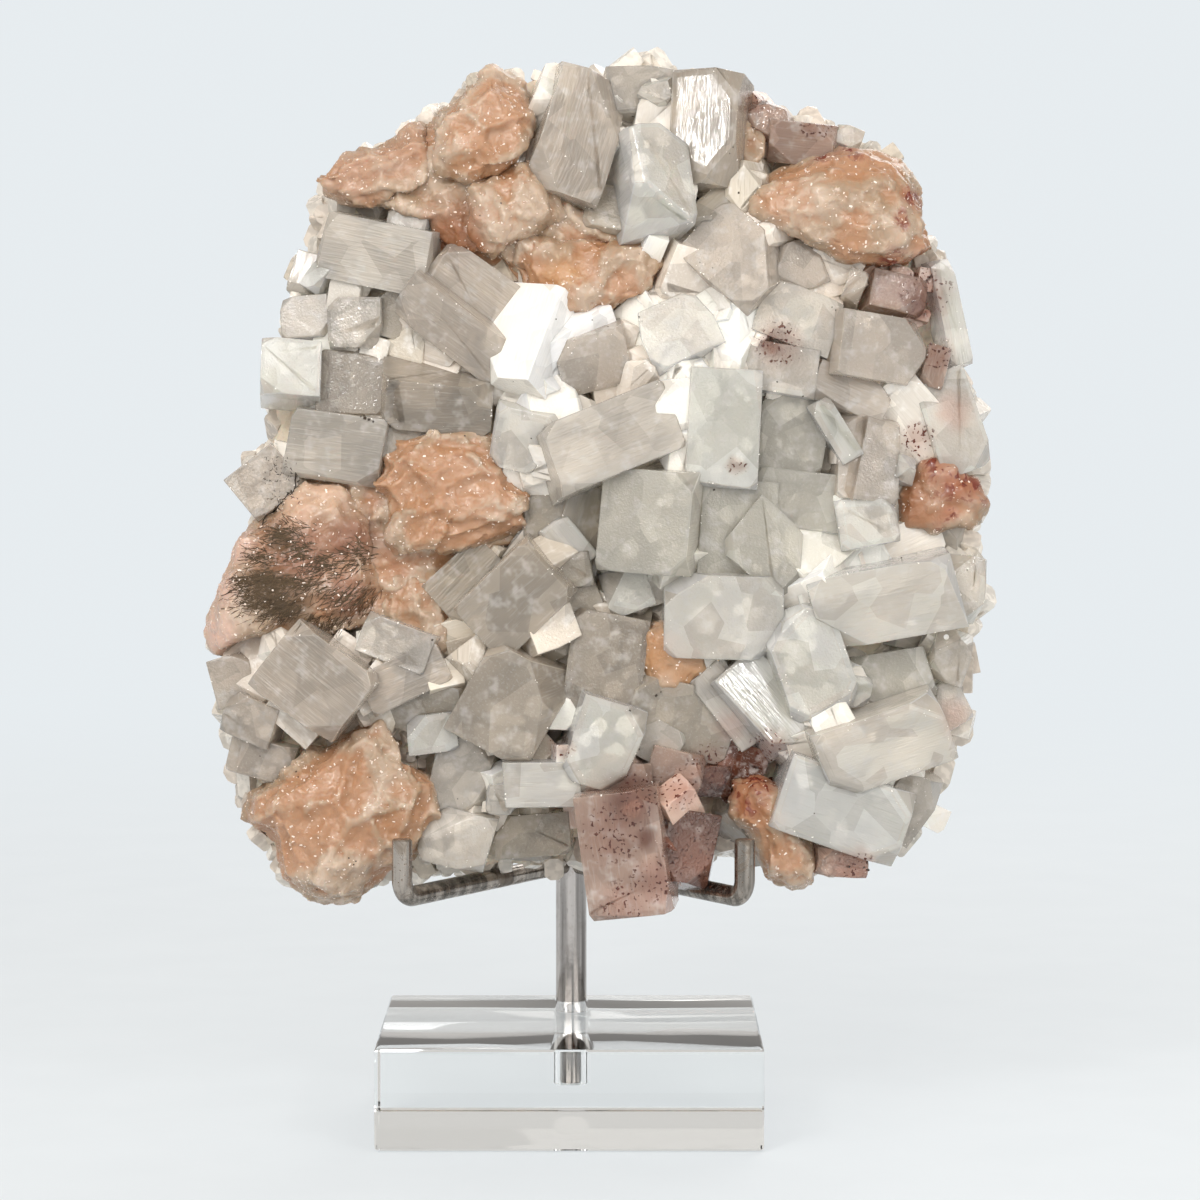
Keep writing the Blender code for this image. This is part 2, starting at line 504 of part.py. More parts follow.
def chamfered_block(width, depth, height, chamfer):
    bm = bmesh.new()
    bmesh.ops.create_cube(bm, size=1.0)
    bmesh.ops.scale(bm, vec=(width, depth, height), verts=bm.verts)
    bmesh.ops.translate(bm, vec=(0.0, 0.0, height / 2), verts=bm.verts)
    bmesh.ops.bevel(
        bm, geom=bm.edges[:], offset=chamfer, offset_type="OFFSET", segments=1, affect="EDGES")
    return bm


def rod_bmesh(radius, start, end, sides):
    """A straight round bar between two points."""
    axis = end - start
    bm = bmesh.new()
    bmesh.ops.create_cone(
        bm, cap_ends=True, segments=sides, radius1=radius, radius2=radius, depth=axis.length)
    turn = Vector((0.0, 0.0, 1.0)).rotation_difference(axis).to_matrix().to_4x4()
    bm.transform(Matrix.Translation((start + end) / 2) @ turn)
    return bm


def shade_round(obj):
    obj.data.shade_smooth()
    obj.data.set_sharp_from_angle(angle=SMOOTH_ANGLE)


def make_base(material):
    """The clear block, with a blind hole for the post."""
    base = finish_object(
        "base", chamfered_block(BASE_WIDTH, BASE_DEPTH, BASE_HEIGHT, BASE_CHAMFER), material)
    foot = Vector((0.0, POST_Y, BASE_HEIGHT - HOLE_DEPTH))
    above = Vector((0.0, POST_Y, BASE_HEIGHT + DRILL_RUN))
    drill = finish_object("post_drill", rod_bmesh(POST_RADIUS + GAP, foot, above, POST_SIDES), material)
    hide_as_guide(drill)
    hole = base.modifiers.new("post_hole", "BOOLEAN")
    hole.operation = "DIFFERENCE"
    hole.object = drill
    hole.solver = "EXACT"
    return base


def make_post(material):
    foot = Vector((0.0, POST_Y, BASE_HEIGHT - HOLE_DEPTH + GAP))
    top = Vector((0.0, POST_Y, REST_Z - REST_RADIUS - GAP))
    post = finish_object("post", rod_bmesh(POST_RADIUS, foot, top, POST_SIDES), material)
    shade_round(post)
    return post


def arm_route(hook_x):
    """Centre line of an arm: from the post, forward under the cluster, then up as a hook."""
    hub = Vector((0.0, POST_Y, ARM_Z))
    corner = Vector((hook_x, HOOK_Y, ARM_Z))
    along = (corner - hub).normalized()
    rise = Vector((0.0, 0.0, 1.0))
    centre = corner - along * HOOK_BEND + rise * HOOK_BEND
    route = [hub + along * (POST_RADIUS + GAP)]
    for step in range(BEND_STEPS + 1):
        angle = math.pi / 2 * step / BEND_STEPS
        offset = along * math.sin(angle) - rise * math.cos(angle)
        route.append(centre + offset * HOOK_BEND)
    route.append(Vector((hook_x, HOOK_Y, HOOK_TOP_Z)))
    return route


def bent_rod_bmesh(route, radius, sides):
    """A round rod along a route that lies in one upright plane, with flat cut ends."""
    across = (route[-1] - route[0]).cross(Vector((0.0, 0.0, 1.0))).normalized()
    bm = bmesh.new()
    rings = []
    for index, point in enumerate(route):
        before = route[max(index - 1, 0)]
        after = route[min(index + 1, len(route) - 1)]
        up = across.cross(after - before).normalized()
        ring = []
        for side in range(sides):
            angle = 2 * math.pi * side / sides
            ring.append(bm.verts.new(
                point + (across * math.cos(angle) + up * math.sin(angle)) * radius))
        rings.append(ring)
    for near_ring, far_ring in zip(rings, rings[1:]):
        for side in range(sides):
            after = (side + 1) % sides
            bm.faces.new((near_ring[side], near_ring[after], far_ring[after], far_ring[side]))
    bm.faces.new(rings[0])
    bm.faces.new(rings[-1])
    return bm


def make_arm(name, hook_x, material):
    arm = finish_object(
        name, bent_rod_bmesh(arm_route(hook_x), ROD_RADIUS, ROD_SIDES), material)
    shade_round(arm)
    return arm


def rest_ends(extra):
    reach = REST_LENGTH / 2 + extra
    return Vector((-reach, REST_Y, REST_Z)), Vector((reach, REST_Y, REST_Z))


def make_rest(material):
    """The bar on top of the post that the back of the cluster leans on."""
    rest = finish_object("back_rest", rod_bmesh(REST_RADIUS, *rest_ends(0.0), POST_SIDES), material)
    shade_round(rest)
    return rest


def seat_guides(material):
    """Fatter copies of the rods, which keep the cluster a gap away from them."""
    guides = []
    for name, hook_x in HOOK_X.items():
        seat = bent_rod_bmesh(arm_route(hook_x), ROD_RADIUS + GAP, ROD_SIDES)
        guides.append(finish_object("seat_of_" + name, seat, material))
    foot = Vector((0.0, POST_Y, BASE_HEIGHT))
    top = Vector((0.0, POST_Y, REST_Z))
    guides.append(finish_object(
        "seat_of_post", rod_bmesh(POST_RADIUS + GAP, foot, top, POST_SIDES), material))
    guides.append(finish_object(
        "seat_of_rest", rod_bmesh(REST_RADIUS + GAP, *rest_ends(GAP), POST_SIDES), material))
    for guide in guides:
        hide_as_guide(guide)
    return guides


def main():
    clear_scene()
    mineral = make_material("apophyllite_and_stilbite", (0.78, 0.74, 0.67), 0.25)
    steel = make_material("post_steel", (0.55, 0.54, 0.53), 0.22, metallic=1.0)
    arm_steel = make_material("arm_steel", (0.45, 0.42, 0.38), 0.35, metallic=1.0)
    rest_steel = make_material("rest_steel", (0.50, 0.48, 0.46), 0.3, metallic=1.0)
    acrylic = make_material("clear_acrylic", (0.95, 0.97, 0.97), 0.03, transmission=1.0)
    cluster = make_cluster(mineral)
    clear_of_stand(cluster, seat_guides(mineral))
    fill_pockets(cluster)
    make_base(acrylic)
    make_post(steel)
    for name, hook_x in HOOK_X.items():
        make_arm(name, hook_x, arm_steel)
    make_rest(rest_steel)


main()
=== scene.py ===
"""Looks of the apophyllite and stilbite cluster on its display stand.

Shapes are worked out in millimetres and finished in metres. The cluster is laid out on its
face plane, which leans back a little: u runs to the right, v up the face and out toward the
viewer.
"""
import bisect
import math
import random

import bmesh
import bpy
import numpy as np
from mathutils import Matrix, Vector, noise
from mathutils.bvhtree import BVHTree


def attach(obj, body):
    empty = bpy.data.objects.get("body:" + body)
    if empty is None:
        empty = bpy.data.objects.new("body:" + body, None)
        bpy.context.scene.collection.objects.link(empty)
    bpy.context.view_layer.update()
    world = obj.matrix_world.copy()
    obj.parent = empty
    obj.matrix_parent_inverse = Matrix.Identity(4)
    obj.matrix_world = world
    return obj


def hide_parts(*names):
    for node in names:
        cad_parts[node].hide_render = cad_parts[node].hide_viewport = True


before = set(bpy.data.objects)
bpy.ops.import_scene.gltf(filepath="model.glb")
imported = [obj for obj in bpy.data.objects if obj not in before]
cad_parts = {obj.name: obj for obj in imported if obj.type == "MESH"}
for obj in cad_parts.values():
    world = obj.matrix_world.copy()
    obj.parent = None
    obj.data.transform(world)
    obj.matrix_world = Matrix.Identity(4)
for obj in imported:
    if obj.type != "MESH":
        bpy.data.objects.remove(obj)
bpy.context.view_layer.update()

MM = 0.001

# Stand, as in the solids
BASE_WIDTH = 95.0
BASE_DEPTH = 80.0
BASE_HEIGHT = 25.0
HOLE_DEPTH = 18.0
GAP = 0.3
POST_RADIUS = 4.0
POST_Y = 32.0
ROD_RADIUS = 2.5
ARM_Z = 61.0
HOOK_X = {"left_arm": -40.8, "right_arm": 42.8}
HOOK_Y = -32.4
HOOK_TOP_Z = 75.5
HOOK_BEND = 4.5
REST_RADIUS = 3.0
REST_LENGTH = 64.0
REST_Z = 150.0
REST_Y = 29.5

# Face plane of the cluster: its aim point, its lean and the distance it is seen from
FACE_X = 7.5
FACE_Y = -4.0
FACE_Z = 132.0
FACE_V = -25.0
LEAN = math.radians(4.0)
EYE = 1000.0
LENS = 120.0
SENSOR = 36.0

# Apophyllite: a square prism whose corners are cut by pyramid faces
PYRAMID_ANGLE = math.radians(60.0)
TAPER = 0.96
GROWTH_SEED = 11
SWAY = 6.0
OUTWARD_LEAN = 10.0
PLATE_HALF = 100.0

# Small prisms round the side of the plate, which point outward
RIM_STEP = 17.0
RIM_REACH = -1.0
RIM_LENGTH = 18.0
RIM_WIDTH = (8.0, 13.0)
RIM_OUT = (-20.0, -4.0)
RIM_TURN = 20.0
RIM_PITCH = (-25.0, 10.0)
RIM_ROLL = 40.0
RIM_CUT = 2.5

# Plate and stilbite masses, as in the solids
PLATE_EDGE = -6.0
PLATE_CROWN = 3.0
PLATE_STEEP = 2.0
PLATE_FRONT_SHARES = (0.25, 0.5, 0.75, 0.92, 1.0)
PLATE_SIDE = (1.0, -16.0)
PLATE_BACK_EDGE = (0.93, -24.0)
PLATE_BACK = -30.0
PLATE_BACK_SHARES = (0.8, 0.5, 0.25)
PLATE_LUMP = 2.8
LUMP_SIZE = 17.0
MASS_STEEP = 4.0
MASS_FRONT_SHARES = (0.35, 0.7, 0.92)
MASS_CAP = 0.5
MASS_SIDE = 6.0
MASS_ROOT_SHARE = 0.8
MASS_ROOT = -14.0
MASS_LUMP = 1.8
MASS_LUMP_SIZE = 10.0

PLATE_RIM = [
    (-76, 45), (-74, 58), (-68, 72), (-69, 80), (-58, 85), (-47, 92), (-36, 98), (-27, 105),
    (-14, 106), (0, 107), (16, 107), (29, 105), (38, 98), (50, 94), (62, 91), (72, 84),
    (79, 74), (84, 60), (87, 45), (90, 30), (94, 14), (95, 0), (92, -12), (95, -22),
    (91, -38), (89, -54), (85, -66), (80, -76), (70, -87), (60, -91), (44, -91), (32, -86),
    (12, -88), (-6, -90), (-24, -92), (-42, -92), (-54, -94), (-68, -97), (-80, -91),
    (-86, -78), (-89, -68), (-91, -55), (-94, -42), (-95, -32), (-91, -20), (-84, -6),
    (-88, 4), (-82, 18), (-81, 32),
]

# Stilbite masses: outline on the face plane, level of the rim and of the crown
MASSES = {
    "upper_left_crust": ([(-73, 80), (-66, 86.5), (-53, 89.5), (-45, 94), (-39, 88), (-40, 79),
                          (-47, 75), (-58, 71), (-68, 75)], 3, 12),
    "upper_left_lump": ([(-41, 96), (-33, 104), (-27, 108), (-19, 104), (-15, 97), (-16, 86),
                         (-22, 80), (-33, 77), (-42, 80), (-43, 88)], 6, 19),
    "upper_sheaf": ([(-34, 80), (-17, 87), (-10, 77), (-9, 71), (-17, 65), (-27, 60),
                     (-34, 66)], 6, 17),
    "recess_crust": ([(-45, 78), (-36, 79), (-30, 68), (-27, 60), (-34, 57), (-42, 58),
                      (-46, 66)], 2, 6),
    "centre_band": ([(-20, 69), (-10, 66), (5, 67), (17, 67), (18, 58), (12, 50), (1, 46),
                     (-9, 44), (-14, 35), (-19, 32), (-20, 42), (-19, 52), (-23, 60)], 6, 15),
    "upper_right": ([(35, 77), (43, 83), (58, 88), (68, 89), (76, 86), (82, 74), (85, 62),
                     (76, 57), (62, 57), (52, 63), (41, 67), (35, 71)], 8, 21),
    "top_pocket": ([(32, 92), (37, 96), (43, 90), (41, 81), (34, 78), (29, 82)], 3, 8),
    "left_middle": ([(-58, 9), (-53, 18), (-42, 18), (-28, 18), (-20, 8), (-14, 1), (-17, -8),
                     (-28, -12.5), (-40, -15.5), (-49, -17), (-55, -11), (-55, 0), (-60, 4)],
                    6, 18),
    "left_middle_foot": ([(-53, -16), (-41, -15), (-37, -25), (-35, -34), (-38, -39), (-47, -36),
                          (-56, -29), (-56, -21)], 4, 10),
    "moss_fan": ([(-91, -9), (-84, -4), (-74, 5), (-62, 4), (-57, -3), (-55, -14), (-52, -22),
                  (-56, -29), (-66, -34), (-88, -36), (-97, -39), (-98, -31), (-96, -22)], 2, 14),
    "small_centre": ([(9, -31), (15, -29), (20, -33), (28, -39), (28, -43), (20, -49), (13, -50),
                      (10, -42)], 8, 15),
    "right_edge": ([(73, 2), (79, 10), (86, 12), (96, 6), (98, -1), (95, -7), (84, -9),
                    (74, -8)], 1, 8),
    "lower_left": ([(-89, -74), (-82, -70), (-73, -64), (-62, -56), (-54, -52), (-48, -62),
                    (-39, -70), (-39, -80), (-46, -90), (-57, -98), (-69, -101), (-80, -96),
                    (-84, -86), (-90, -80)], 5, 17),
    "lower_right": ([(32, -70), (38, -66), (46, -70), (50, -82), (55, -88), (54, -96), (48, -98),
                     (41, -96), (38, -85), (31, -79)], 3, 16),
}

# Apophyllite crystals. Each row: habit, centre of the front face (u, v, out), turn of its
# long side, pitch (far end toward the viewer), roll (upper side toward the viewer), length,
# width, depth, and the cut on each front corner in turn from the far upper one, clockwise.
PRISM = "prism"
CAP = "cap"
CRYSTALS = {
    "top_tall": (PRISM, -4.5, 92, 16, 72, 4, 14, 33, 19.5, 24, (3, 12, 4, 9)),
    "top_recess": (CAP, 10.5, 103, 7, 4, 0, -8, 18, 13, 16, (2, 2, 2, 2)),
    "top_recess_tip": (CAP, 15, 103.5, 11, 60, 0, 0, 9, 8, 12, (4, 3, 3, 4)),
    "top_right": (PRISM, 25.8, 94, 15, 88, 0, -12, 30, 17.5, 24, (1.5, 6, 8, 8)),
    "upper_white": (CAP, 16, 82, 28, 98, 0, 16, 27, 15.5, 26, (3.5, 5.5, 3, 12.5)),
    "under_white": (CAP, 5, 73, 12, -12, 0, -15, 14, 8, 14, (1.5, 1.5, 1.5, 1.5)),
    "ear": (CAP, 34, 61.5, 21, -42, 0, 0, 23, 18, 22, (11, 2, 4, 4)),
    "ear_right": (CAP, 49.5, 58.5, 13, 20, 0, 0, 14, 13, 16, (4, 4, 4, 4)),
    "ear_top": (PRISM, 28, 74, 15, 40, 0, -20, 15, 7, 14, (2, 2, 2, 2)),
    "top_edge_a": (CAP, 43, 95.5, 5, -30, 0, 0, 13, 9, 14, (3, 3, 3, 3)),
    "top_edge_b": (PRISM, 51, 89, 7, -5, 0, 10, 18, 11, 16, (3, 3, 3, 3)),
    "top_edge_c": (CAP, 62.5, 91, 3, -20, 0, 0, 7, 5.5, 10, (1.5, 1.5, 1.5, 1.5)),
    "left_top": (PRISM, -57, 61.5, 14, -14, 0, 8, 29, 17, 22, (4, 3, 4, 3)),
    "left_top_small": (CAP, -48.5, 70, 9, -10, 0, 0, 11, 7.5, 14, (2, 2, 2, 2)),
    "left_rim_a": (PRISM, -74, 57, 5, 75, 0, 0, 11, 7, 14, (3, 2, 2, 3)),
    "left_rim_b": (CAP, -71, 56.5, 10, 60, 0, 0, 8.5, 5, 12, (1.5, 1.5, 1.5, 1.5)),
    "left_square": (CAP, -74, 46, 8, 3, 0, 0, 12.5, 11, 18, (2, 2, 2, 2)),
    "left_square_b": (CAP, -61.5, 44.5, 12, 0, 0, 0, 14, 13, 20, (2, 6, 1, 1)),
    "left_bright": (CAP, -77.3, 33.5, 14, -3, -5, 0, 15.5, 14.5, 20, (3, 4, 1.5, 1.5)),
    "left_square_c": (CAP, -61.5, 29.5, 9, -5, 0, 0, 15.5, 12.5, 18, (1, 2, 4, 1)),
    "left_chip": (CAP, -69.5, 26.5, 8, 40, 0, 0, 6, 6, 12, (3, 3, 3, 3)),
    "left_glassy": (PRISM, -66.5, 13, 12, -10, 0, 0, 21, 14, 20, (4, 5, 4, 3)),
    "left_stained": (CAP, -84, 4.5, 5, 38, 0, 0, 16, 14, 18, (3, 3, 3, 3)),
    "left_lying": (PRISM, -41, 22.7, 20, -4, 0, 30, 27, 12.5, 18, (5, 3, 2, 2)),
    "left_lying_under": (CAP, -45, 15, 11, -5, 0, 0, 18, 6, 12, (2, 2, 2, 2)),
    "left_sliver": (CAP, -52.5, 46.5, 9, 75, 0, 0, 8, 5, 12, (1, 1, 1, 1)),
    "ridge": (PRISM, -37, 42.5, 21, -36, 0, 22, 31, 11, 20, (3, 2, 2, 3)),
    "ridge_back": (PRISM, -31, 49, 14, -36, 0, 0, 27, 17, 20, (6, 3, 2, 5)),
    "bright_square": (CAP, -19.5, 14.5, 22, -12, 0, 20, 15, 14.5, 22, (2, 6, 2, 2)),
    "centre_upper": (CAP, -1, 34.5, 18, 15, 0, 16, 18, 13, 22, (3, 4, 3, 3)),
    "centre_white": (CAP, 19.5, 43, 21, 25, 0, -12, 18, 15, 24, (3, 2, 2, 3)),
    "hero_prism": (PRISM, 3.6, 16, 30, 21.5, -5, 0, 33, 17, 24, (1, 1, 2, 2)),
    "white_mass": (CAP, 31, 18, 24, 87, 0, 0, 29, 17, 26, (3, 3, 3, 3)),
    "green_block": (CAP, 11, -5.5, 27, 84, 0, -12, 25, 22.5, 28, (1.5, 5, 5, 2)),
    "dark_small_a": (CAP, -12.5, -4.5, 10, 0, 0, 0, 10, 8, 12, (1, 1, 1, 1)),
    "dark_small_b": (PRISM, -8, -11, 12, -50, 0, 0, 10, 5, 12, (1, 1, 1, 1)),
    "dark_small_c": (CAP, -6.5, -17.5, 12, 10, 0, 0, 5, 5, 10, (1, 1, 1, 1)),
    "right_dusty": (CAP, 45, 33, 17, -8, 0, 0, 18, 11, 20, (3, 3, 4, 4)),
    "right_dusty_b": (CAP, 49.5, 46, 15, -20, 0, 0, 17, 11, 20, (4, 3, 3, 3)),
    "right_big": (CAP, 71, 38, 17, -8, -16, 0, 24, 17, 22, (4, 5, 1, 2)),
    "right_under_big": (PRISM, 63, 27, 14, -25, 0, 0, 17, 6, 16, (2, 2, 2, 2)),
    "right_nib": (CAP, 64, 54, 13, 70, 0, 0, 8, 5, 12, (2, 2, 2, 2)),
    "right_sliver": (PRISM, 59, 17.5, 19, -58, 0, 0, 16, 4.5, 14, (1.5, 1.5, 1.5, 1.5)),
    "right_upright": (CAP, 67.5, 10.5, 15, 84, 0, 0, 18, 12, 20, (3, 3, 2, 3)),
    "right_triangle": (CAP, 75.5, 8.5, 13, -10, 0, 0, 8, 7, 14, (3, 3, 3, 3)),
    "right_glassy": (CAP, 48, 16, 11, 80, 0, 0, 20, 14, 18, (3, 3, 3, 3)),
    "right_side_band": (PRISM, 88, 47, 4, -80, 0, 0, 28, 6, 20, (2, 2, 2, 2)),
    "right_cream": (CAP, 88.5, 19.5, 7, -72, 0, 0, 27, 14, 20, (6, 2, 5, 2)),
    "right_striated": (PRISM, 84, 33.5, 9, 75, 0, 0, 11, 6, 14, (1.5, 1.5, 1.5, 1.5)),
    "right_white": (CAP, 67, -5, 16, 10, 0, 0, 14, 12, 18, (3, 3, 3, 3)),
    "right_clear_low": (CAP, 50, 0, 13, -5, 0, 0, 20, 11, 18, (2, 2, 2, 2)),
    "right_clear_wide": (CAP, 34.5, -8, 16, 86, 0, 0, 25, 18, 22, (3, 3, 3, 3)),
    "right_clear_tip": (CAP, 43, -12.3, 20, -40, 0, 0, 20, 16, 22, (9, 3, 3, 3)),
    "long_white": (PRISM, 72, -26, 23, 12, 0, 0, 38, 19, 24, (3, 2, 9, 2)),
    "long_white_end": (CAP, 92, -22, 8, 80, 0, 0, 17, 10, 18, (3, 3, 3, 3)),
    "white_block": (CAP, 31, -29.5, 23, 0, 0, 0, 29, 20, 26, (5, 8, 2, 8)),
    "right_leaning": (CAP, 53, -40, 24, -68, 0, 0, 27, 17, 24, (5, 5, 9, 5)),
    "right_streaked": (PRISM, 42, -50, 18, -48, 0, -15, 24, 13, 20, (3, 3, 3, 3)),
    "right_pink_strip": (PRISM, 33, -52, 12, -50, 0, 0, 20, 6, 14, (1.5, 1.5, 1.5, 1.5)),
    "right_knob": (CAP, 63.5, -48, 17, -10, 0, 0, 9, 8, 14, (2, 2, 2, 2)),
    "right_olive": (CAP, 74, -44, 10, 10, 0, 0, 20, 13, 16, (2, 2, 2, 2)),
    "right_rim_a": (CAP, 88, -39, 8, 70, 0, 0, 14, 10, 16, (3, 3, 3, 3)),
    "right_rim_b": (CAP, 88, -51, 5, -60, 0, 0, 12, 8, 14, (2, 2, 2, 2)),
    "low_right_prism": (PRISM, 71.5, -62, 21, 20, 0, 0, 34, 18, 22, (6, 3, 6, 3)),
    "low_right_pale": (PRISM, 61, -78, 18, -20, 0, 0, 34, 20, 22, (3, 6, 3, 2)),
    "low_right_rim": (CAP, 77, -77, 12, 55, 0, 0, 18, 12, 18, (3, 3, 3, 3)),
    "low_right_foot": (CAP, 61, -91, 12, -5, 0, 0, 13, 7, 16, (2, 2, 2, 2)),
    "low_red_a": (CAP, 28.5, -70.5, 9, 0, 0, 0, 9, 8, 12, (1.5, 1.5, 1.5, 1.5)),
    "low_olive": (CAP, 20.5, -55, 12, -15, 0, 0, 24, 15, 18, (3, 3, 3, 3)),
    "low_right_small": (CAP, 51, -63.5, 10, -12, 0, 0, 10, 7, 14, (1.5, 1.5, 1.5, 1.5)),
    "turned_prism": (PRISM, -21.5, -25.5, 25, 44, 0, 0, 24.5, 17.5, 24, (2, 1, 2, 1)),
    "triangle_block": (CAP, -23, -51.5, 24, 62, 0, 0, 24.5, 22, 24, (3, 12, 2, 2)),
    "small_triangle": (CAP, 7, -23, 12, 20, 0, 0, 8, 7, 14, (2, 1, 1, 4)),
    "low_grey": (CAP, 1.5, -41, 14, 80, 0, 0, 22, 16, 18, (2, 3, 3, 3)),
    "low_white": (CAP, 1.5, -61.5, 27, 75, 0, 0, 21, 16, 24, (4, 6, 7, 3)),
    "low_bar": (PRISM, -14.5, -71.3, 22, 3, 0, 0, 18, 10, 16, (1, 1, 4, 1)),
    "low_bar_side": (CAP, -25, -75, 15, 0, 0, 0, 8, 8, 14, (1, 1, 1, 1)),
    "hanging_block": (PRISM, 5.6, -89, 26, -81, 0, 0, 32, 21, 20, (1, 1, 3, 3)),
    "hanging_arch": (CAP, 7.5, -71, 22, 90, 0, 0, 9, 10, 16, (3, 3, 3, 3)),
    "low_red_block": (CAP, 22.5, -86, 18, 80, -18, 0, 20, 13, 12, (3, 3, 3, 3)),
    "low_dusted": (CAP, 18.5, -69.5, 16, -15, 0, 0, 13, 12.5, 16, (3, 3, 3, 3)),
    "low_chip": (CAP, 14, -60.5, 13, -30, 0, 0, 9, 7, 12, (1.5, 1.5, 1.5, 1.5)),
    "low_left_grey": (CAP, -35, -69, 9, 80, 0, 0, 22, 15, 18, (4, 4, 4, 4)),
    "low_left_foot": (CAP, -36, -85, 11, -15, 0, 0, 18, 15, 18, (4, 4, 4, 4)),
    "left_slab": (PRISM, -72, -45.5, 21, -38, 0, 0, 26, 21, 22, (4, 6, 4, 5)),
    "left_slab_tail": (PRISM, -49, -44.5, 16, 25, 0, 0, 21, 10, 16, (2, 2, 2, 2)),
    "left_sugary": (CAP, -51, -36, 16, -20, 0, 0, 18, 9, 16, (2, 2, 2, 2)),
    "left_rim_c": (CAP, -92, -45, 5, -75, 0, 0, 13, 11, 16, (2, 2, 2, 2)),
    "left_rim_d": (CAP, -88, -55, 8, -20, 0, 0, 14, 11, 16, (2, 2, 2, 2)),
    "left_rim_e": (CAP, -85, -65, 5, -15, 0, 0, 17, 10, 14, (2, 2, 2, 2)),
    "recess_tall": (PRISM, -4, -7, 8, 74, 0, 20, 18, 9, 14, (2, 2, 2, 2)),
    "recess_dark": (CAP, -13, -14, 6, -35, 0, 0, 16, 11, 12, (2, 2, 2, 2)),
    "recess_olive": (CAP, -8, -29, 10, 24, -12, 0, 16, 14, 14, (2, 2, 3, 2)),
    "recess_brown": (PRISM, -33, -20, 9, 42, 0, 0, 16, 10, 14, (2, 2, 2, 2)),
    "recess_low": (CAP, -44, -52, 10, -20, 0, 14, 15, 12, 14, (2, 2, 2, 2)),
    "recess_low_tip": (CAP, -42, -58.5, 13, 8, 0, 0, 9, 6, 12, (3, 1, 1, 3)),
    "recess_foot": (CAP, -17, -84, 5, 4, 0, 0, 20, 11, 14, (3, 3, 3, 3)),
    "recess_red": (CAP, 75, 52, 7, -10, -8, 0, 15, 10, 12, (2, 2, 2, 2)),
}

# Colour of each crystal, by kind. A crystal that is not named here is milky
TINTS = {
    "milky": (0.85, 0.785, 0.70),
    "grey": (0.73, 0.675, 0.60),
    "dim": (0.55, 0.485, 0.405),
    "green": (0.72, 0.69, 0.61),
    "cream": (0.96, 0.905, 0.82),
    "beige": (0.70, 0.62, 0.535),
    "olive": (0.64, 0.57, 0.47),
    "rose": (0.61, 0.44, 0.355),
    "wine": (0.11, 0.035, 0.018),
}
TINT_OF = {
    "cream": ["upper_white", "left_rim_b", "left_bright", "bright_square", "white_mass",
              "white_block", "long_white", "right_leaning", "right_streaked", "low_white",
              "low_bar", "right_cream", "right_side_band", "right_sliver", "right_triangle",
              "right_white", "small_triangle", "recess_low_tip", "low_right_pale",
              "centre_white", "dark_small_b", "right_knob"],
    "grey": ["left_top", "hero_prism", "top_recess", "left_square_b",
             "low_left_grey", "right_rim_a", "low_right_rim", "left_glassy"],
    "dim": ["left_square_c", "turned_prism", "low_grey", "left_lying", "top_right",
            "triangle_block"],
    "green": ["green_block", "right_clear_wide", "right_clear_low", "right_clear_tip",
              "right_glassy", "right_olive"],
    "beige": ["top_tall", "ridge_back", "ridge", "right_big", "right_upright", "centre_upper",
              "ear", "ear_right", "left_slab", "left_slab_tail", "left_rim_c", "left_rim_d",
              "left_rim_e", "left_stained", "right_under_big", "low_right_small", "right_nib"],
    "olive": ["under_white", "ear_top", "left_lying_under", "dark_small_a", "dark_small_c",
              "recess_tall", "recess_dark", "recess_olive", "recess_brown", "recess_low",
              "low_olive", "recess_foot", "left_sliver"],
    "rose": ["top_edge_b", "top_edge_a", "low_dusted", "recess_red", "low_right_foot",
             "right_striated", "hanging_arch",
             "hanging_block"],
    "wine": ["low_red_block", "low_red_a"],
}

# Patches on the crystals: place on the face plane and radius
DUST_SPOTS = [
    (44, 38, 7), (33.5, 8, 3), (81, 52, 8), (84, 36, 5), (79, 15, 5), (38, 99, 4), (54, 94, 6),
    (10, -73, 7), (6, -99, 7), (13, -93, 7), (42, -61, 6), (27, -66, 7), (19, -72, 6),
    (-10, -61, 4), (63, -92, 6), (23, -87, 10), (3, -82, 9),
]
BLOTCH_SPOTS = [(7, -74, 8), (11, -83, 3.5), (42, 38, 3), (20, -86, 6), (25, -90, 5), (80, 48, 6)]
PINK_SPOTS = [(16, -94, 8), (32, -56, 5), (20, -72, 6), (88, 22, 6), (62, -91, 7), (88, -54, 6)]

# Stilbite masses: direction of the grain on the face, its strength, block size and strength
GRAIN = {
    "upper_left_bed": (-50, 0.4, 8, 0.8),
    "left_bed": (10, 0.3, 8, 0.8),
    "upper_left_crust": (20, 0.25, 9, 1.2),
    "upper_left_lump": (10, 0.15, 13, 1.2),
    "upper_sheaf": (-58, 0.75, 8, 0.5),
    "recess_crust": (-60, 0.3, 10, 0.6),
    "centre_band": (84, 0.45, 11, 0.8),
    "upper_right": (12, 0.16, 20, 0.7),
    "top_pocket": (60, 0.2, 8, 0.6),
    "left_middle": (15, 0.25, 10, 1.3),
    "left_middle_foot": (82, 0.5, 8, 0.6),
    "moss_fan": (22, 0.45, 12, 0.5),
    "small_centre": (70, 0.15, 12, 0.5),
    "right_edge": (-20, 0.15, 12, 0.5),
    "lower_left": (65, 0.25, 12, 1.3),
    "lower_right": (70, 0.2, 12, 0.7),
}

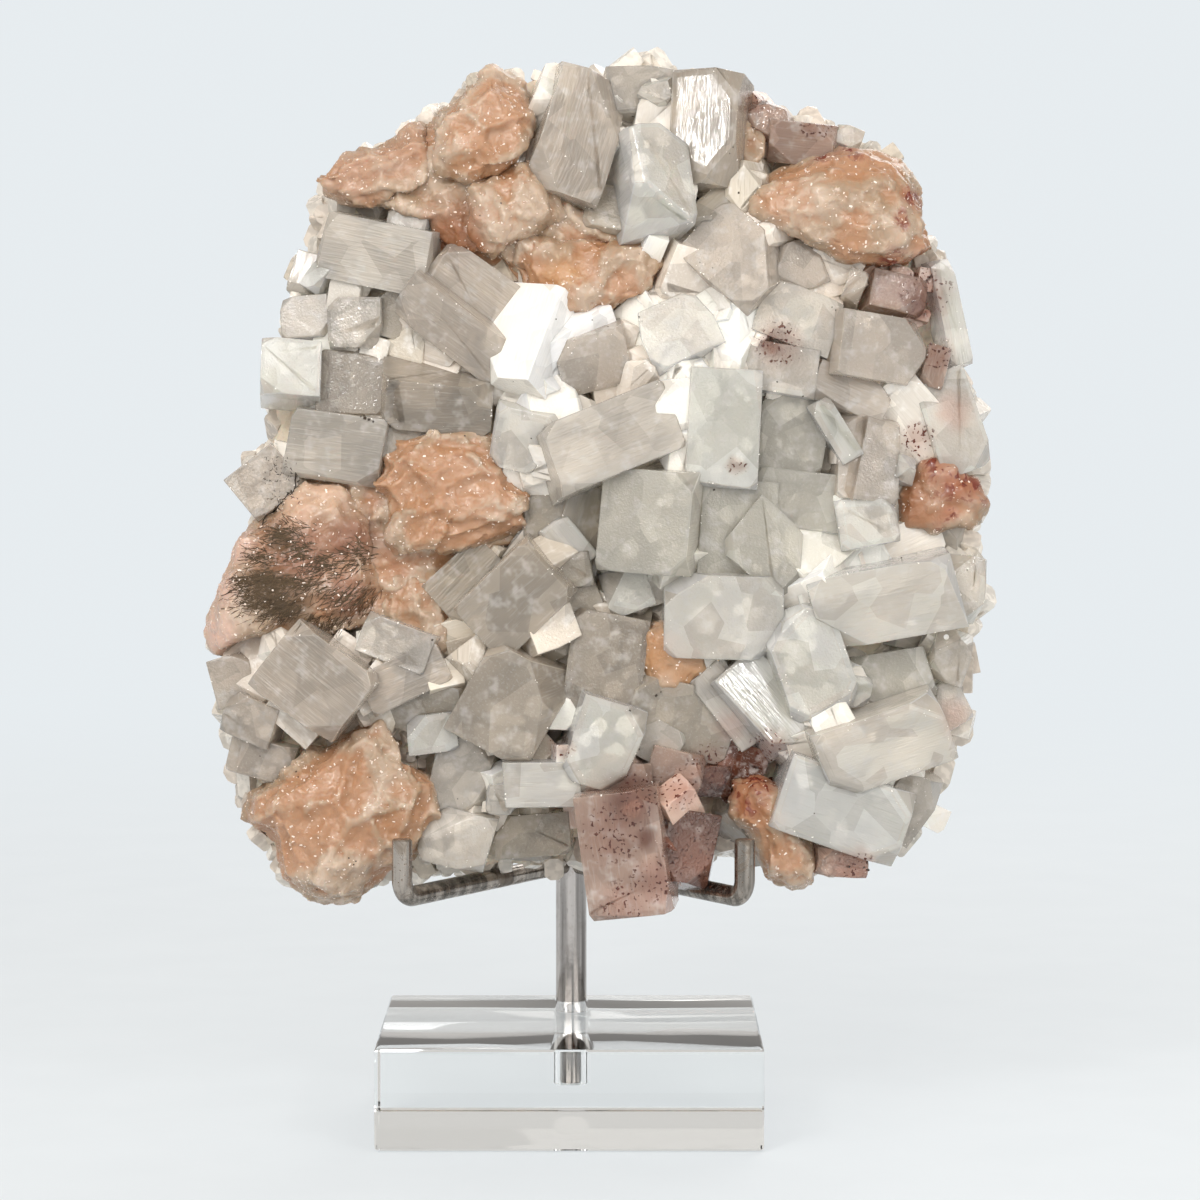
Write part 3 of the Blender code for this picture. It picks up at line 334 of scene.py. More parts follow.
# Low stilbite that joins neighbouring masses: outline on the face, edge and crown
BEDS = {
    "upper_left_bed": (
        [(-66, 82), (-52, 90), (-40, 97), (-28, 104), (-16, 99), (-15, 86), (-9, 74), (4, 70),
         (19, 63), (17, 57), (6, 49), (-6, 40), (-15, 38), (-19, 50), (-26, 57), (-40, 60),
         (-46, 71), (-60, 74)], 3.0, 10.0),
    "left_bed": (
        [(-90, -16), (-76, 0), (-62, 8), (-16, 0), (-16, -10), (-34, -14), (-38, -26), (-38, -34),
         (-56, -34), (-88, -34), (-94, -26)], 2.0, 9.0),
}

RIGHT = Vector((1.0, 0.0, 0.0))
UP = Vector((0.0, math.sin(LEAN), math.cos(LEAN)))
NEAR = Vector((0.0, -math.cos(LEAN), math.sin(LEAN)))
AIM = Vector((FACE_X, FACE_Y, FACE_Z))


def place(u, v, out):
    """World point, in millimetres, that is seen at (u, v) and stands out from the face plane."""
    on_face = AIM + RIGHT * u + UP * (v - FACE_V)
    eye = AIM + NEAR * EYE
    return on_face + (eye - on_face) * (out / EYE)


def face_frame(turn, pitch, roll):
    """Rotation from a crystal's own axes to the world."""
    face = Matrix((RIGHT, UP, NEAR)).transposed()
    spin = Matrix.Rotation(math.radians(turn), 3, "Z")
    lift = Matrix.Rotation(math.radians(-pitch), 3, "Y")
    bank = Matrix.Rotation(math.radians(roll), 3, "X")
    return face @ spin @ lift @ bank


def cut_away(bm, point, normal):
    """Cut a convex solid by a plane and close the cut."""
    parts = list(bm.verts) + list(bm.edges) + list(bm.faces)
    result = bmesh.ops.bisect_plane(
        bm, geom=parts, plane_co=point, plane_no=normal, clear_outer=True, dist=0.0001)
    rim = [item for item in result["geom_cut"] if isinstance(item, bmesh.types.BMEdge)]
    if len(rim) >= 3:
        bmesh.ops.contextual_create(bm, geom=rim)


def corner_cuts(bm, habit, length, width, depth, cuts):
    """Cut the front corners by pyramid faces, and the hidden far corners of a prism."""
    across = math.sin(PYRAMID_ANGLE) / math.sqrt(2.0)
    along = math.cos(PYRAMID_ANGLE)
    ends = ((1, 1), (1, -1), (-1, -1), (-1, 1))
    for (sx, sy), size in zip(ends, cuts):
        if not size:
            continue
        corner = Vector((sx * length / 2, sy * width / 2, 0.0))
        if habit == CAP:
            normal = Vector((sx * across, sy * across, along))
        else:
            normal = Vector((sx * along, sy * across, across))
        cut_away(bm, corner - normal * (size * across), normal)
        if habit == PRISM:
            far_corner = corner - Vector((0.0, 0.0, depth))
            far_normal = Vector((sx * along, sy * across, -across))
            cut_away(bm, far_corner - far_normal * (size * across), far_normal)


def growth_lean(u, v, sway):
    """Crystals lean outward from the middle of the plate, each with a sway of its own."""
    along_u = u * OUTWARD_LEAN / PLATE_HALF + sway[0]
    along_v = v * OUTWARD_LEAN / PLATE_HALF + sway[1]
    to_right = Matrix.Rotation(math.radians(along_u), 3, UP)
    to_top = Matrix.Rotation(math.radians(-along_v), 3, RIGHT)
    return to_right @ to_top


def block_bmesh(habit, length, width, depth, cuts):
    """A tapered block with its corners cut, in its own axes."""
    bm = bmesh.new()
    bmesh.ops.create_cube(bm, size=1.0)
    for vert in bm.verts:
        taper = TAPER if vert.co.z > 0 else 1.0
        vert.co = Vector((
            vert.co.x * length * taper, vert.co.y * width * taper, (vert.co.z - 0.5) * depth))
    corner_cuts(bm, habit, length * TAPER, width * TAPER, depth, cuts)
    return bm


def lump(point, size):
    """Smooth bumps, from minus one to one."""
    return noise.noise(Vector(point) / size)


def mound_bmesh(rim, front_rings, back_rings, front_tip, back_tip):
    """Closed solid over an outline: rings of points from the front tip to the back tip."""
    mid_u = sum(point[0] for point in rim) / len(rim)
    mid_v = sum(point[1] for point in rim) / len(rim)
    bm = bmesh.new()
    rings = []
    for share, level in front_rings + back_rings:
        ring = []
        for u, v in rim:
            at_u = mid_u + (u - mid_u) * share
            at_v = mid_v + (v - mid_v) * share
            ring.append(bm.verts.new(place(at_u, at_v, level(at_u, at_v))))
        rings.append(ring)
    front = bm.verts.new(place(mid_u, mid_v, front_tip))
    back = bm.verts.new(place(mid_u, mid_v, back_tip))
    count = len(rim)
    for i in range(count):
        j = (i + 1) % count
        bm.faces.new((front, rings[0][i], rings[0][j]))
        bm.faces.new((back, rings[-1][j], rings[-1][i]))
        for inner, outer in zip(rings, rings[1:]):
            bm.faces.new((inner[i], outer[i], outer[j], inner[j]))
    return bm


def dome_level(edge, crown, share, steep, amount):
    """Height of a domed surface at a share of its outline, with bumps."""
    height = edge + (crown - edge) * math.sqrt(1.0 - share ** steep)

    def level(u, v):
        return height + amount * lump((u, v, crown), MASS_LUMP_SIZE)

    return level


def flat_level(height, amount=0.0):
    """Height of a near flat surface, with bumps that only fill it in."""
    return lambda u, v: height + amount * (1.0 + lump((u, v, height), LUMP_SIZE))


def plate_bmesh():
    front = [(share, dome_level(PLATE_EDGE, PLATE_CROWN, share, PLATE_STEEP, PLATE_LUMP))
             for share in PLATE_FRONT_SHARES]
    back = [(share, flat_level(level, PLATE_LUMP))
            for share, level in (PLATE_SIDE, PLATE_BACK_EDGE)]
    back += [(share, flat_level(PLATE_BACK, PLATE_LUMP)) for share in PLATE_BACK_SHARES]
    return mound_bmesh(PLATE_RIM, front, back, PLATE_CROWN, PLATE_BACK + PLATE_LUMP)


def mass_bmesh(rim, edge, crown):
    front = [(share, dome_level(edge, crown, share, MASS_STEEP, MASS_LUMP))
             for share in MASS_FRONT_SHARES]
    back = [(1.0, flat_level(edge - MASS_SIDE)), (MASS_ROOT_SHARE, flat_level(MASS_ROOT))]
    return mound_bmesh(rim, front, back, crown + MASS_CAP, MASS_ROOT - MASS_CAP)


def rim_rows(rng):
    """Rows for the prisms round the side, spaced along the rim of the plate."""
    rows = []
    travelled = 0.0
    for (u0, v0), (u1, v1) in zip(PLATE_RIM, PLATE_RIM[1:] + PLATE_RIM[:1]):
        travelled += math.hypot(u1 - u0, v1 - v0)
        if travelled < RIM_STEP:
            continue
        travelled -= RIM_STEP
        outward = math.atan2(v1, u1)
        inset = RIM_LENGTH / 2 - RIM_REACH
        u = u1 - inset * math.cos(outward)
        v = v1 - inset * math.sin(outward)
        width = rng.uniform(*RIM_WIDTH)
        out = rng.uniform(*RIM_OUT) + width / 2
        turn = math.degrees(outward) + rng.uniform(-RIM_TURN, RIM_TURN)
        pitch = rng.uniform(*RIM_PITCH)
        roll = rng.uniform(-RIM_ROLL, RIM_ROLL)
        rows.append((PRISM, u, v, out, turn, pitch, roll, RIM_LENGTH, width, width, (RIM_CUT,) * 4))
    return rows


# Meshes

STEEP_EDGE = math.radians(8.0)
EDGE_ROUND = 0.28
# Share by which the rims of the faces are painted pale: partly frost, partly painted light gathered
# in thin edges
EDGE_FROST_AND_LIGHT = 0.85
EDGE_TONE = 0.96
PALE_RIM = 1.3
PALE_RIM_SHARE = 0.16
RIM_AREA = 6.0
SWELL_LOW = 4.0
SWELL_HIGH = 1.6
HIGH_OUT = 13.0
SWELL_WITHIN = 74.0
OUT_MIDDLE = 10.0
OUT_SHARE = 0.6
LEVEL_WITHIN = 84.0
STEP_ODDS = 0.5
STEP_INSET = (1.0, 2.2)
STEP_RISE = (-0.3, 0.4)
SMALL_CUT = 5.0
SMALL_CUT_SHARES = (0.0, 0.7, 1.7)
WARP = 0.045
CHIPS = (2, 5)
CHIP_DEPTH = (0.25, 1.6)
# Painted shade toward the root of each crystal
PAINTED_ROOT_SHADE = 0.15
TINT_SPREAD = 0.05
# Painted light and shade: how much lighter or darker each facet direction is made, at random
FACE_SPREAD = 0.08
FACET_SPREAD = 0.15
# Painted light on the flanks of the crystals
PAINTED_FLANK_LIGHT = 1.25
C_FACE_STRETCH = 12.0


def link_mesh(name, mesh):
    obj = bpy.data.objects.new(name, mesh)
    bpy.context.scene.collection.objects.link(obj)
    return obj


def mesh_object(name, bm):
    """Turn a bmesh in millimetres into an object in metres."""
    bmesh.ops.scale(bm, vec=(MM, MM, MM), verts=bm.verts)
    bmesh.ops.recalc_face_normals(bm, faces=bm.faces)
    mesh = bpy.data.meshes.new(name)
    bm.to_mesh(mesh)
    bm.free()
    return link_mesh(name, mesh)


def evaluated_mesh(obj):
    graph = bpy.context.evaluated_depsgraph_get()
    mesh = bpy.data.meshes.new_from_object(
        obj.evaluated_get(graph), preserve_all_data_layers=True, depsgraph=graph)
    return mesh


def apply_modifiers(obj):
    mesh = evaluated_mesh(obj)
    obj.modifiers.clear()
    obj.data = mesh


def discard(obj):
    bpy.data.objects.remove(obj, do_unlink=True)


def tint_name(name):
    for tint, names in TINT_OF.items():
        if name in names:
            return tint
    return "milky"


def warp_block(bm, rng):
    """Lean the sides and the front a little, since no grown block is quite square."""
    bend = Matrix.Identity(3)
    for row, column in ((0, 1), (1, 0), (2, 0), (2, 1)):
        bend[row][column] = rng.uniform(-WARP, WARP)
    for vert in bm.verts:
        vert.co = bend @ vert.co


def chip_corners(bm, size, rng):
    """Break small pieces off the corners and edges of the front."""
    for _ in range(rng.randint(*CHIPS)):
        front = [vert for vert in bm.verts if vert.co.z > -0.35 * size]
        corner = rng.choice(front).co.copy()
        away = Vector((corner.x, corner.y, size * 0.4)).normalized()
        off = Vector((rng.gauss(0, 0.45), rng.gauss(0, 0.45), rng.gauss(0, 0.45)))
        normal = (away + off).normalized()
        reach = max(vert.co.dot(normal) for vert in bm.verts)
        cut_away(bm, normal * (reach - rng.uniform(*CHIP_DEPTH) * min(1.0, size / 12.0)), normal)


def add_growth_step(bm, rng):
    """A raised or sunken terrace on the crystal's front face."""
    front = max(bm.faces, key=lambda face: face.normal.z * face.calc_area())
    if rng.random() < STEP_ODDS:
        bmesh.ops.inset_individual(
            bm, faces=[front], thickness=rng.uniform(*STEP_INSET), depth=rng.uniform(*STEP_RISE))


def round_edges(bm):
    """Worn edges. Returns their new faces."""
    sharp = [edge for edge in bm.edges
             if len(edge.link_faces) == 2 and edge.calc_face_angle() > STEEP_EDGE]
    made = bmesh.ops.bevel(
        bm, geom=sharp, offset=EDGE_ROUND, offset_type="OFFSET", segments=2, affect="EDGES",
        clamp_overlap=True, profile=0.5)
    return set(made["faces"])


def split_rims(bm, worn):
    """Split a narrow rim off each wide face, so that its edges can be painted paler than its
    middle, partly as frost and partly as painted light.
    """
    layer = bm.faces.layers.int.new("worn")
    for face in bm.faces:
        face[layer] = 1 if face in worn else 0
    wide = [face for face in bm.faces if not face[layer] and face.calc_area() > RIM_AREA]
    for face in wide:
        longest = max(edge.calc_length() for edge in face.edges)
        width = min(PALE_RIM, PALE_RIM_SHARE * face.calc_area() / longest)
        bmesh.ops.inset_individual(bm, faces=[face], thickness=width, depth=0.0)
    return layer


def paint_crystal(bm, worn, habit, depth, tint, rng):
    """Store the tint and the growth direction on a crystal, with painted light and shade: paler
    edges, partly frost and partly painted light, lighter flanks, facets made lighter or darker at
    random, and painted shade toward the root.
    """
    layer = split_rims(bm, worn)
    bm.normal_update()
    grow = bm.loops.layers.uv.new("grow")
    colour = bm.loops.layers.float_color.new("tint")
    shift = rng.uniform(0.0, 90.0)
    own_light = 1.0 + rng.uniform(-TINT_SPREAD, TINT_SPREAD)
    base = [part * own_light for part in tint]
    lights = {}
    for face in bm.faces:
        # Painted light and shade: each facet direction is made lighter or darker at random
        aim = tuple(round(part, 1) for part in face.normal)
        if aim not in lights:
            spread = FACE_SPREAD if face.normal.z > 0.9 else FACET_SPREAD
            lights[aim] = 1.0 + rng.uniform(-spread, spread)
        light = lights[aim]
        # Painted light: the flanks are made lighter than the front
        if abs(face.normal.z) < 0.5:
            light *= PAINTED_FLANK_LIGHT
        own = [part * light for part in base]
        axis = face.normal.z if habit == CAP else face.normal.x
        for loop in face.loops:
            x, y, z = loop.vert.co
            along, side_a, side_b = (z, x, y) if habit == CAP else (x, y, z)
            if abs(axis) > 0.9:
                loop[grow].uv = (side_a + shift, side_b * C_FACE_STRETCH)
            else:
                loop[grow].uv = (side_a + side_b + shift, along)
            # Painted shade: darker toward the root, deep among the other crystals
            shade = 1.0 - PAINTED_ROOT_SHADE * min(1.0, max(0.0, -z / depth))
            # Painted light: points on a face's rim are painted paler, partly frost and partly the
            # light that gathers in thin edges
            on_edge = any(other[layer] for other in loop.vert.link_faces)
            pale = EDGE_FROST_AND_LIGHT if on_edge else 0.0
            parts = [(part + (EDGE_TONE - part) * pale) * shade for part in own]
            loop[colour] = (*[min(EDGE_TONE, part) for part in parts], 1.0)


def detailed_block(habit, length, width, depth, cuts, tint, rng):
    """One crystal with its flaws, in its own axes."""
    cuts = [cut * rng.choice(SMALL_CUT_SHARES) if cut < SMALL_CUT else cut for cut in cuts]
    bm = block_bmesh(habit, length, width, depth, cuts)
    bmesh.ops.remove_doubles(bm, verts=bm.verts, dist=0.02)
    warp_block(bm, rng)
    chip_corners(bm, min(length, width), rng)
    bmesh.ops.remove_doubles(bm, verts=bm.verts, dist=0.05)
    bm.normal_update()
    add_growth_step(bm, rng)
    worn = round_edges(bm)
    bm.normal_update()
    paint_crystal(bm, worn, habit, depth, tint, rng)
    return bm


def crystal_object(name, row, sway, rng):
    habit, u, v, out, turn, pitch, roll, length, width, depth, cuts = row
    grown = SWELL_HIGH if out > HIGH_OUT else SWELL_LOW
    if math.hypot(u, v) > SWELL_WITHIN:
        grown = 0.0
    bm = detailed_block(
        habit, length + grown, width + grown, depth, cuts, TINTS[tint_name(name)], rng)
    rotation = growth_lean(u, v, sway) @ face_frame(turn, pitch, roll)
    centre = place(u, v, out)
    for vert in bm.verts:
        vert.co = centre + rotation @ vert.co
    return mesh_object(name, bm)


def boolean(obj, other, operation):
    cut = obj.modifiers.new("cut", "BOOLEAN")
    cut.operation = operation
    cut.solver = "EXACT"
    cut.object = other


def settled(row):
    """Bring the fronts of inner crystals nearer to one level, so that they grow into each other."""
    habit, u, v, out = row[:4]
    if math.hypot(u, v) < LEVEL_WITHIN:
        out = OUT_MIDDLE + (out - OUT_MIDDLE) * OUT_SHARE
    return (habit, u, v, out) + tuple(row[4:])


def crystal_rows():
    """Name, row and sway of every large crystal, in the order of the solids."""
    rng = random.Random(GROWTH_SEED)
    rows = []
    for name, row in CRYSTALS.items():
        sway = (rng.uniform(-SWAY, SWAY), rng.uniform(-SWAY, SWAY))
        rows.append((name, settled(row), sway))
    for index, row in enumerate(rim_rows(rng)):
        rows.append(("side_crystal_%02d" % index, row, (0.0, 0.0)))
    return rows


def reach_of(obj):
    """Lowest and highest corner of an object."""
    corners = [Vector(corner) for corner in obj.bound_box]
    low = Vector([min(corner[i] for corner in corners) for i in range(3)])
    high = Vector([max(corner[i] for corner in corners) for i in range(3)])
    return low, high


def boxes_meet(one, other):
    (low_a, high_a), (low_b, high_b) = reach_of(one), reach_of(other)
    return all(low_a[i] < high_b[i] and low_b[i] < high_a[i] for i in range(3))


def clear_of_stand(obj, cutters):
    near = [cutter for cutter in cutters if boxes_meet(obj, cutter)]
    for cutter in near:
        boolean(obj, cutter, "DIFFERENCE")
    if near:
        apply_modifiers(obj)


def is_stained(row):
    """Whether dust or a stain reaches a crystal."""
    u, v = row[1:3]
    reach = 0.5 * math.hypot(row[7], row[8])
    spots = DUST_SPOTS + BLOTCH_SPOTS + PINK_SPOTS
    return any(math.hypot(u - at_u, v - at_v) < radius + reach for at_u, at_v, radius in spots)


def grow_crystals(rows, cutters):
    """Every large apophyllite crystal: the clean ones in one mesh, the stained in another."""
    looks = random.Random(GROWTH_SEED + 1)
    groups = {"apophyllite_crystals": [], "stained_crystals": []}
    for name, row, sway in rows:
        made = crystal_object(name, row, sway, looks)
        clear_of_stand(made, cutters)
        groups["stained_crystals" if is_stained(row) else "apophyllite_crystals"].append(made)
    return [joined(name, group) for name, group in groups.items()]


def voxelised(obj, size):
    remesh = obj.modifiers.new("fine", "REMESH")
    remesh.mode = "VOXEL"
    remesh.voxel_size = size * MM
    apply_modifiers(obj)


def smooth_points(mesh, rounds, share):
    """Move each point toward the middle of its neighbours."""
    count = len(mesh.vertices)
    co = np.empty(count * 3)
    mesh.vertices.foreach_get("co", co)
    co = co.reshape(-1, 3)
    edges = np.empty(len(mesh.edges) * 2, int)
    mesh.edges.foreach_get("vertices", edges)
    edges = edges.reshape(-1, 2)
    degree = np.bincount(edges.ravel(), minlength=count).reshape(-1, 1)
    for _ in range(rounds):
        total = np.zeros_like(co)
        np.add.at(total, edges[:, 0], co[edges[:, 1]])
        np.add.at(total, edges[:, 1], co[edges[:, 0]])
        co = co + (total / degree - co) * share
    mesh.vertices.foreach_set("co", co.ravel())
    mesh.update()


def push_out(mesh, height):
    """Move each point along its normal by height(point, normal), in millimetres."""
    count = len(mesh.vertices)
    co = np.empty(count * 3)
    mesh.vertices.foreach_get("co", co)
    normals = np.empty(count * 3)
    mesh.vertices.foreach_get("normal", normals)
    co = co.reshape(-1, 3)
    normals = normals.reshape(-1, 3)
    amounts = np.array([height(Vector(p) / MM, Vector(n)) for p, n in zip(co, normals)])
    mesh.vertices.foreach_set("co", (co + normals * (amounts * MM).reshape(-1, 1)).ravel())
    mesh.update()
    return amounts


def hashed(point, salt):
    """A fixed random number from zero to one for a place."""
    return noise.cell(Vector(point) * 37.0 + Vector((salt, salt * 1.7, salt * 2.3)))


def hashed_tilt(place, salt):
    """Three fixed numbers from minus a half to a half for a place."""
    return Vector([hashed(place, salt + step) - 0.5 for step in range(3)])


LEDGE = 1.5
# Sizes in mm of the drift of the ledges, the small facets and the fine bumps
DRIFT_SIZE = 8.0
FACET_SIZE = 2.6
BUMP_SIZE = 0.9
# Size and height in mm of each swell of a stilbite mass
SWELLS = [(13.0, 1.6), (6.0, 0.9), (3.5, 0.4)]


def mass_height(centre, turn, grain, block, strength):
    """Relief of a stilbite mass: blunt ledges, sheaf grain and sugary bumps."""
    along = RIGHT * math.cos(math.radians(turn)) + UP * math.sin(math.radians(turn))
    across = NEAR.cross(along)

    def height(point, _):
        local = point - centre
        drift = 2.2 * noise.noise(point / DRIFT_SIZE)
        q = Vector((local.dot(along) / 1.7 + drift, local.dot(across) + drift,
                    local.dot(NEAR) / 1.3)) / block
        near, places = noise.voronoi(q)
        cell = places[0]
        lift = (hashed(cell, 1.0) - 0.5) * strength * LEDGE
        lean = (q - Vector(cell)).dot(hashed_tilt(cell, 2.0)) * strength * LEDGE * 1.4
        blend = 0.35 + 0.65 * min(1.0, (near[1] - near[0]) / 0.3)
        fibre = noise.noise(Vector((
            local.dot(along) / 9.0, local.dot(across) / 1.3, local.dot(NEAR) / 2.5)))
        small = noise.voronoi(point / FACET_SIZE)[1][0]
        facet = (point / FACET_SIZE - small).dot(hashed_tilt(small, 5.0)) * 0.5
        facet += (hashed(small, 8.0) - 0.5) * 0.2
        bumps = 0.12 * noise.noise(point / BUMP_SIZE) + facet
        swell = sum(rise * noise.noise(point / size) for size, rise in SWELLS)
        return (lift + lean) * blend + grain * fibre + bumps + swell

    return height


def store_point_value(mesh, name, values):
    layer = mesh.attributes.new(name, "FLOAT", "POINT")
    layer.data.foreach_set("value", np.asarray(values, dtype=np.float32))


def smooth_shaded(obj):
    obj.data.shade_smooth()
    return obj


STILBITE_PATCHES = [
    ([(-37, 66, 11), (-33, 62, 8)], (0.26, 0.10, 0.04), 0.9),
    ([(-62, 80, 12), (-50, 84, 9), (-48, 92, 8)], (0.42, 0.26, 0.18), 0.6),
    ([(-94, -22, 8), (-95, -33, 8), (-90, -12, 6)], (0.62, 0.42, 0.34), 0.8),
    ([(-75, -14, 14), (-62, -10, 10), (-63, -24, 9)], (0.24, 0.105, 0.06), 0.9),
    ([(-68, 2, 7), (-74, -2, 6)], (0.55, 0.36, 0.25), 0.8),
    ([(-82, -22, 9), (-76, -26, 7), (-79, -10, 5)], (0.12, 0.065, 0.03), 0.9),
    ([(-57, 0, 4), (-53, -14, 3.5), (-50, -17, 3)], (0.34, 0.15, 0.07), 0.7),
    ([(14, -38, 9), (22, -44, 8)], (0.42, 0.21, 0.09), 0.8),
    ([(78, -2, 8), (80, 5, 6), (88, 2, 6)], (0.30, 0.12, 0.05), 0.8),
    ([(-10, 55, 7), (-9, 40, 8)], (0.50, 0.27, 0.12), 0.6),
]
RUST_SPOTS = [(88, 5, 7), (93, 2, 5), (84, 9, 5), (86, -4, 4), (81, 11, 4), (40, -69, 6),
              (36, -76, 5), (33, -72, 4), (56, 86, 4), (62, 87, 4), (77, 74, 4), (74, 68, 3),
              (80, 58, 5), (72, 58, 4)]


def spot_cover(spots, at_u, at_v):
    """One in the middle of the spots, falling to nothing just past their radius."""
    cover = np.zeros_like(at_u)
    for u, v, radius in spots:
        share = (1.15 * radius - np.hypot(at_u - u, at_v - v)) / (0.95 * radius)
        share = np.clip(share, 0.0, 1.0)
        cover = np.maximum(cover, share * share * (3.0 - 2.0 * share))
    return cover


def paint_patches(mesh):
    """Store the darker patches and the rust of a stilbite mass on its points."""
    points = [vert.co / MM for vert in mesh.vertices]
    ragged = [noise.noise_vector(point / 4.5) * 2.6 for point in points]
    at_u = np.array([(p + r - AIM).dot(RIGHT) for p, r in zip(points, ragged)])
    at_v = np.array([(p + r - AIM).dot(UP) + FACE_V for p, r in zip(points, ragged)])
    front = np.array([(point - AIM).dot(NEAR) for point in points])
    front = np.clip((front + 14.0) / 10.0, 0.0, 1.0)
    colour = np.zeros((len(points), 3))
    alpha = np.zeros(len(points))
    for spots, tone, amount in STILBITE_PATCHES:
        cover = spot_cover(spots, at_u, at_v) * front * amount
        colour = colour * (1.0 - cover[:, None]) + np.array(tone) * cover[:, None]
        alpha = 1.0 - (1.0 - alpha) * (1.0 - cover)
    colour = colour / np.maximum(alpha, 0.001)[:, None]
    layer = mesh.attributes.new("patch", "FLOAT_COLOR", "POINT")
    layer.data.foreach_set("color", np.column_stack([colour, alpha]).astype(np.float32).ravel())
    store_point_value(mesh, "rust", spot_cover(RUST_SPOTS, at_u, at_v) * front)


def make_mass(name, rim, edge, crown):
    obj = mesh_object("stilbite_" + name, mass_bmesh(rim, edge, crown))
    voxelised(obj, 0.75)
    smooth_points(obj.data, 6, 0.5)
    turn, grain, block, strength = GRAIN[name]
    mid = place(sum(p[0] for p in rim) / len(rim), sum(p[1] for p in rim) / len(rim), crown)
    relief = push_out(obj.data, mass_height(mid, turn, grain, block, strength))
    smooth_points(obj.data, 1, 0.4)
    store_point_value(obj.data, "relief", relief)
    paint_patches(obj.data)
    return smooth_shaded(obj)


def make_plate():
    obj = mesh_object("mineral_plate", plate_bmesh())
    voxelised(obj, 1.6)
    smooth_points(obj.data, 4, 0.5)

    def height(point, normal):
        behind = max(0.0, -normal.dot(NEAR))
        rough = 1.3 * noise.noise(point / 9.0) + 0.7 * noise.noise(point / 3.5)
        near, places = noise.voronoi(point / 11.0)
        lift = (hashed(places[0], 5.0) - 0.5) * 1.8
        crease = -0.8 * math.exp(-((near[1] - near[0]) / 0.08) ** 2)
        return rough + (lift + crease) * (0.4 + 0.6 * behind) - 0.8

    store_point_value(obj.data, "relief", push_out(obj.data, height))
    return obj


class Pile:
    """Many small solids, gathered in one mesh with a tint for each."""

    def __init__(self):
        self.points = []
        self.faces = []
        self.tints = []

    def add(self, points, faces, tint):
        start = len(self.points)
        self.points.extend(points)
        for face in faces:
            self.faces.append([start + index for index in face])
            self.tints.append(tint)

    def build(self, name):
        mesh = bpy.data.meshes.new(name)
        mesh.from_pydata([tuple(point * MM) for point in self.points], [], self.faces)
        layer = mesh.color_attributes.new("tint", "FLOAT_COLOR", "CORNER")
        colours = []
        for face, tint in zip(self.faces, self.tints):
            colours.extend([*tint, 1.0] * len(face))
        layer.data.foreach_set("color", np.array(colours, dtype=np.float32))
        mesh.update()
        return link_mesh(name, mesh)


def block_template(habit, length, width, depth, cut):
    bm = block_bmesh(habit, length, width, depth, (cut,) * 4)
    bmesh.ops.recalc_face_normals(bm, faces=bm.faces)
    bm.verts.index_update()
    points = [vert.co.copy() for vert in bm.verts]
    faces = [[vert.index for vert in face.verts] for face in bm.faces]
    bm.free()
    return points, faces


def surface_sampler(mesh, rng, keep):
    """Random points on the faces that keep(centre, normal) accepts, evenly by area."""
    found = []
    total = 0.0
    for polygon in mesh.polygons:
        if keep(polygon.center / MM, polygon.normal):
            total += polygon.area
            found.append((total, polygon.index))
    limits = np.array([item[0] for item in found])

    def sample():
        index = int(np.searchsorted(limits, rng.uniform(0.0, total)))
        polygon = mesh.polygons[found[min(index, len(found) - 1)][1]]
        corners = [mesh.vertices[i].co / MM for i in polygon.vertices]
        weights = [rng.random() for _ in corners]
        scale = 1.0 / sum(weights)
        point = sum((corner * (weight * scale) for corner, weight in zip(corners, weights)),
                    Vector())
        return point, polygon.normal.copy()

    return sample


def turned_to(normal, rng, wobble):
    """A random rotation whose z axis points near the normal."""
    off = Vector((rng.gauss(0, wobble), rng.gauss(0, wobble), rng.gauss(0, wobble)))
    aim = (normal + off).normalized()
    spin = Matrix.Rotation(rng.uniform(0.0, 2 * math.pi), 3, "Z")
    return Vector((0.0, 0.0, 1.0)).rotation_difference(aim).to_matrix() @ spin


FRONT_FACING = 0.5


def sunk_below(tree, spots):
    """How far spots must sink so that they cover no face that looks at the viewer."""
    eye = AIM + NEAR * EYE
    sink = 0.0
    for spot in spots:
        aim = (spot - eye).normalized()
        hit, normal, _, distance = tree.ray_cast(eye, aim)
        if hit is None:
            continue
        cover = distance - (spot - eye).length
        if cover > 0.0 and normal.dot(NEAR) > FRONT_FACING:
            sink = max(sink, cover + 0.3)
    return sink


SIDE_COUNT = (3, 6)
SIDE_SHARE = (0.3, 0.62)
SIDE_DROP = (0.10, 0.75)
MOST_SINK = 9.0


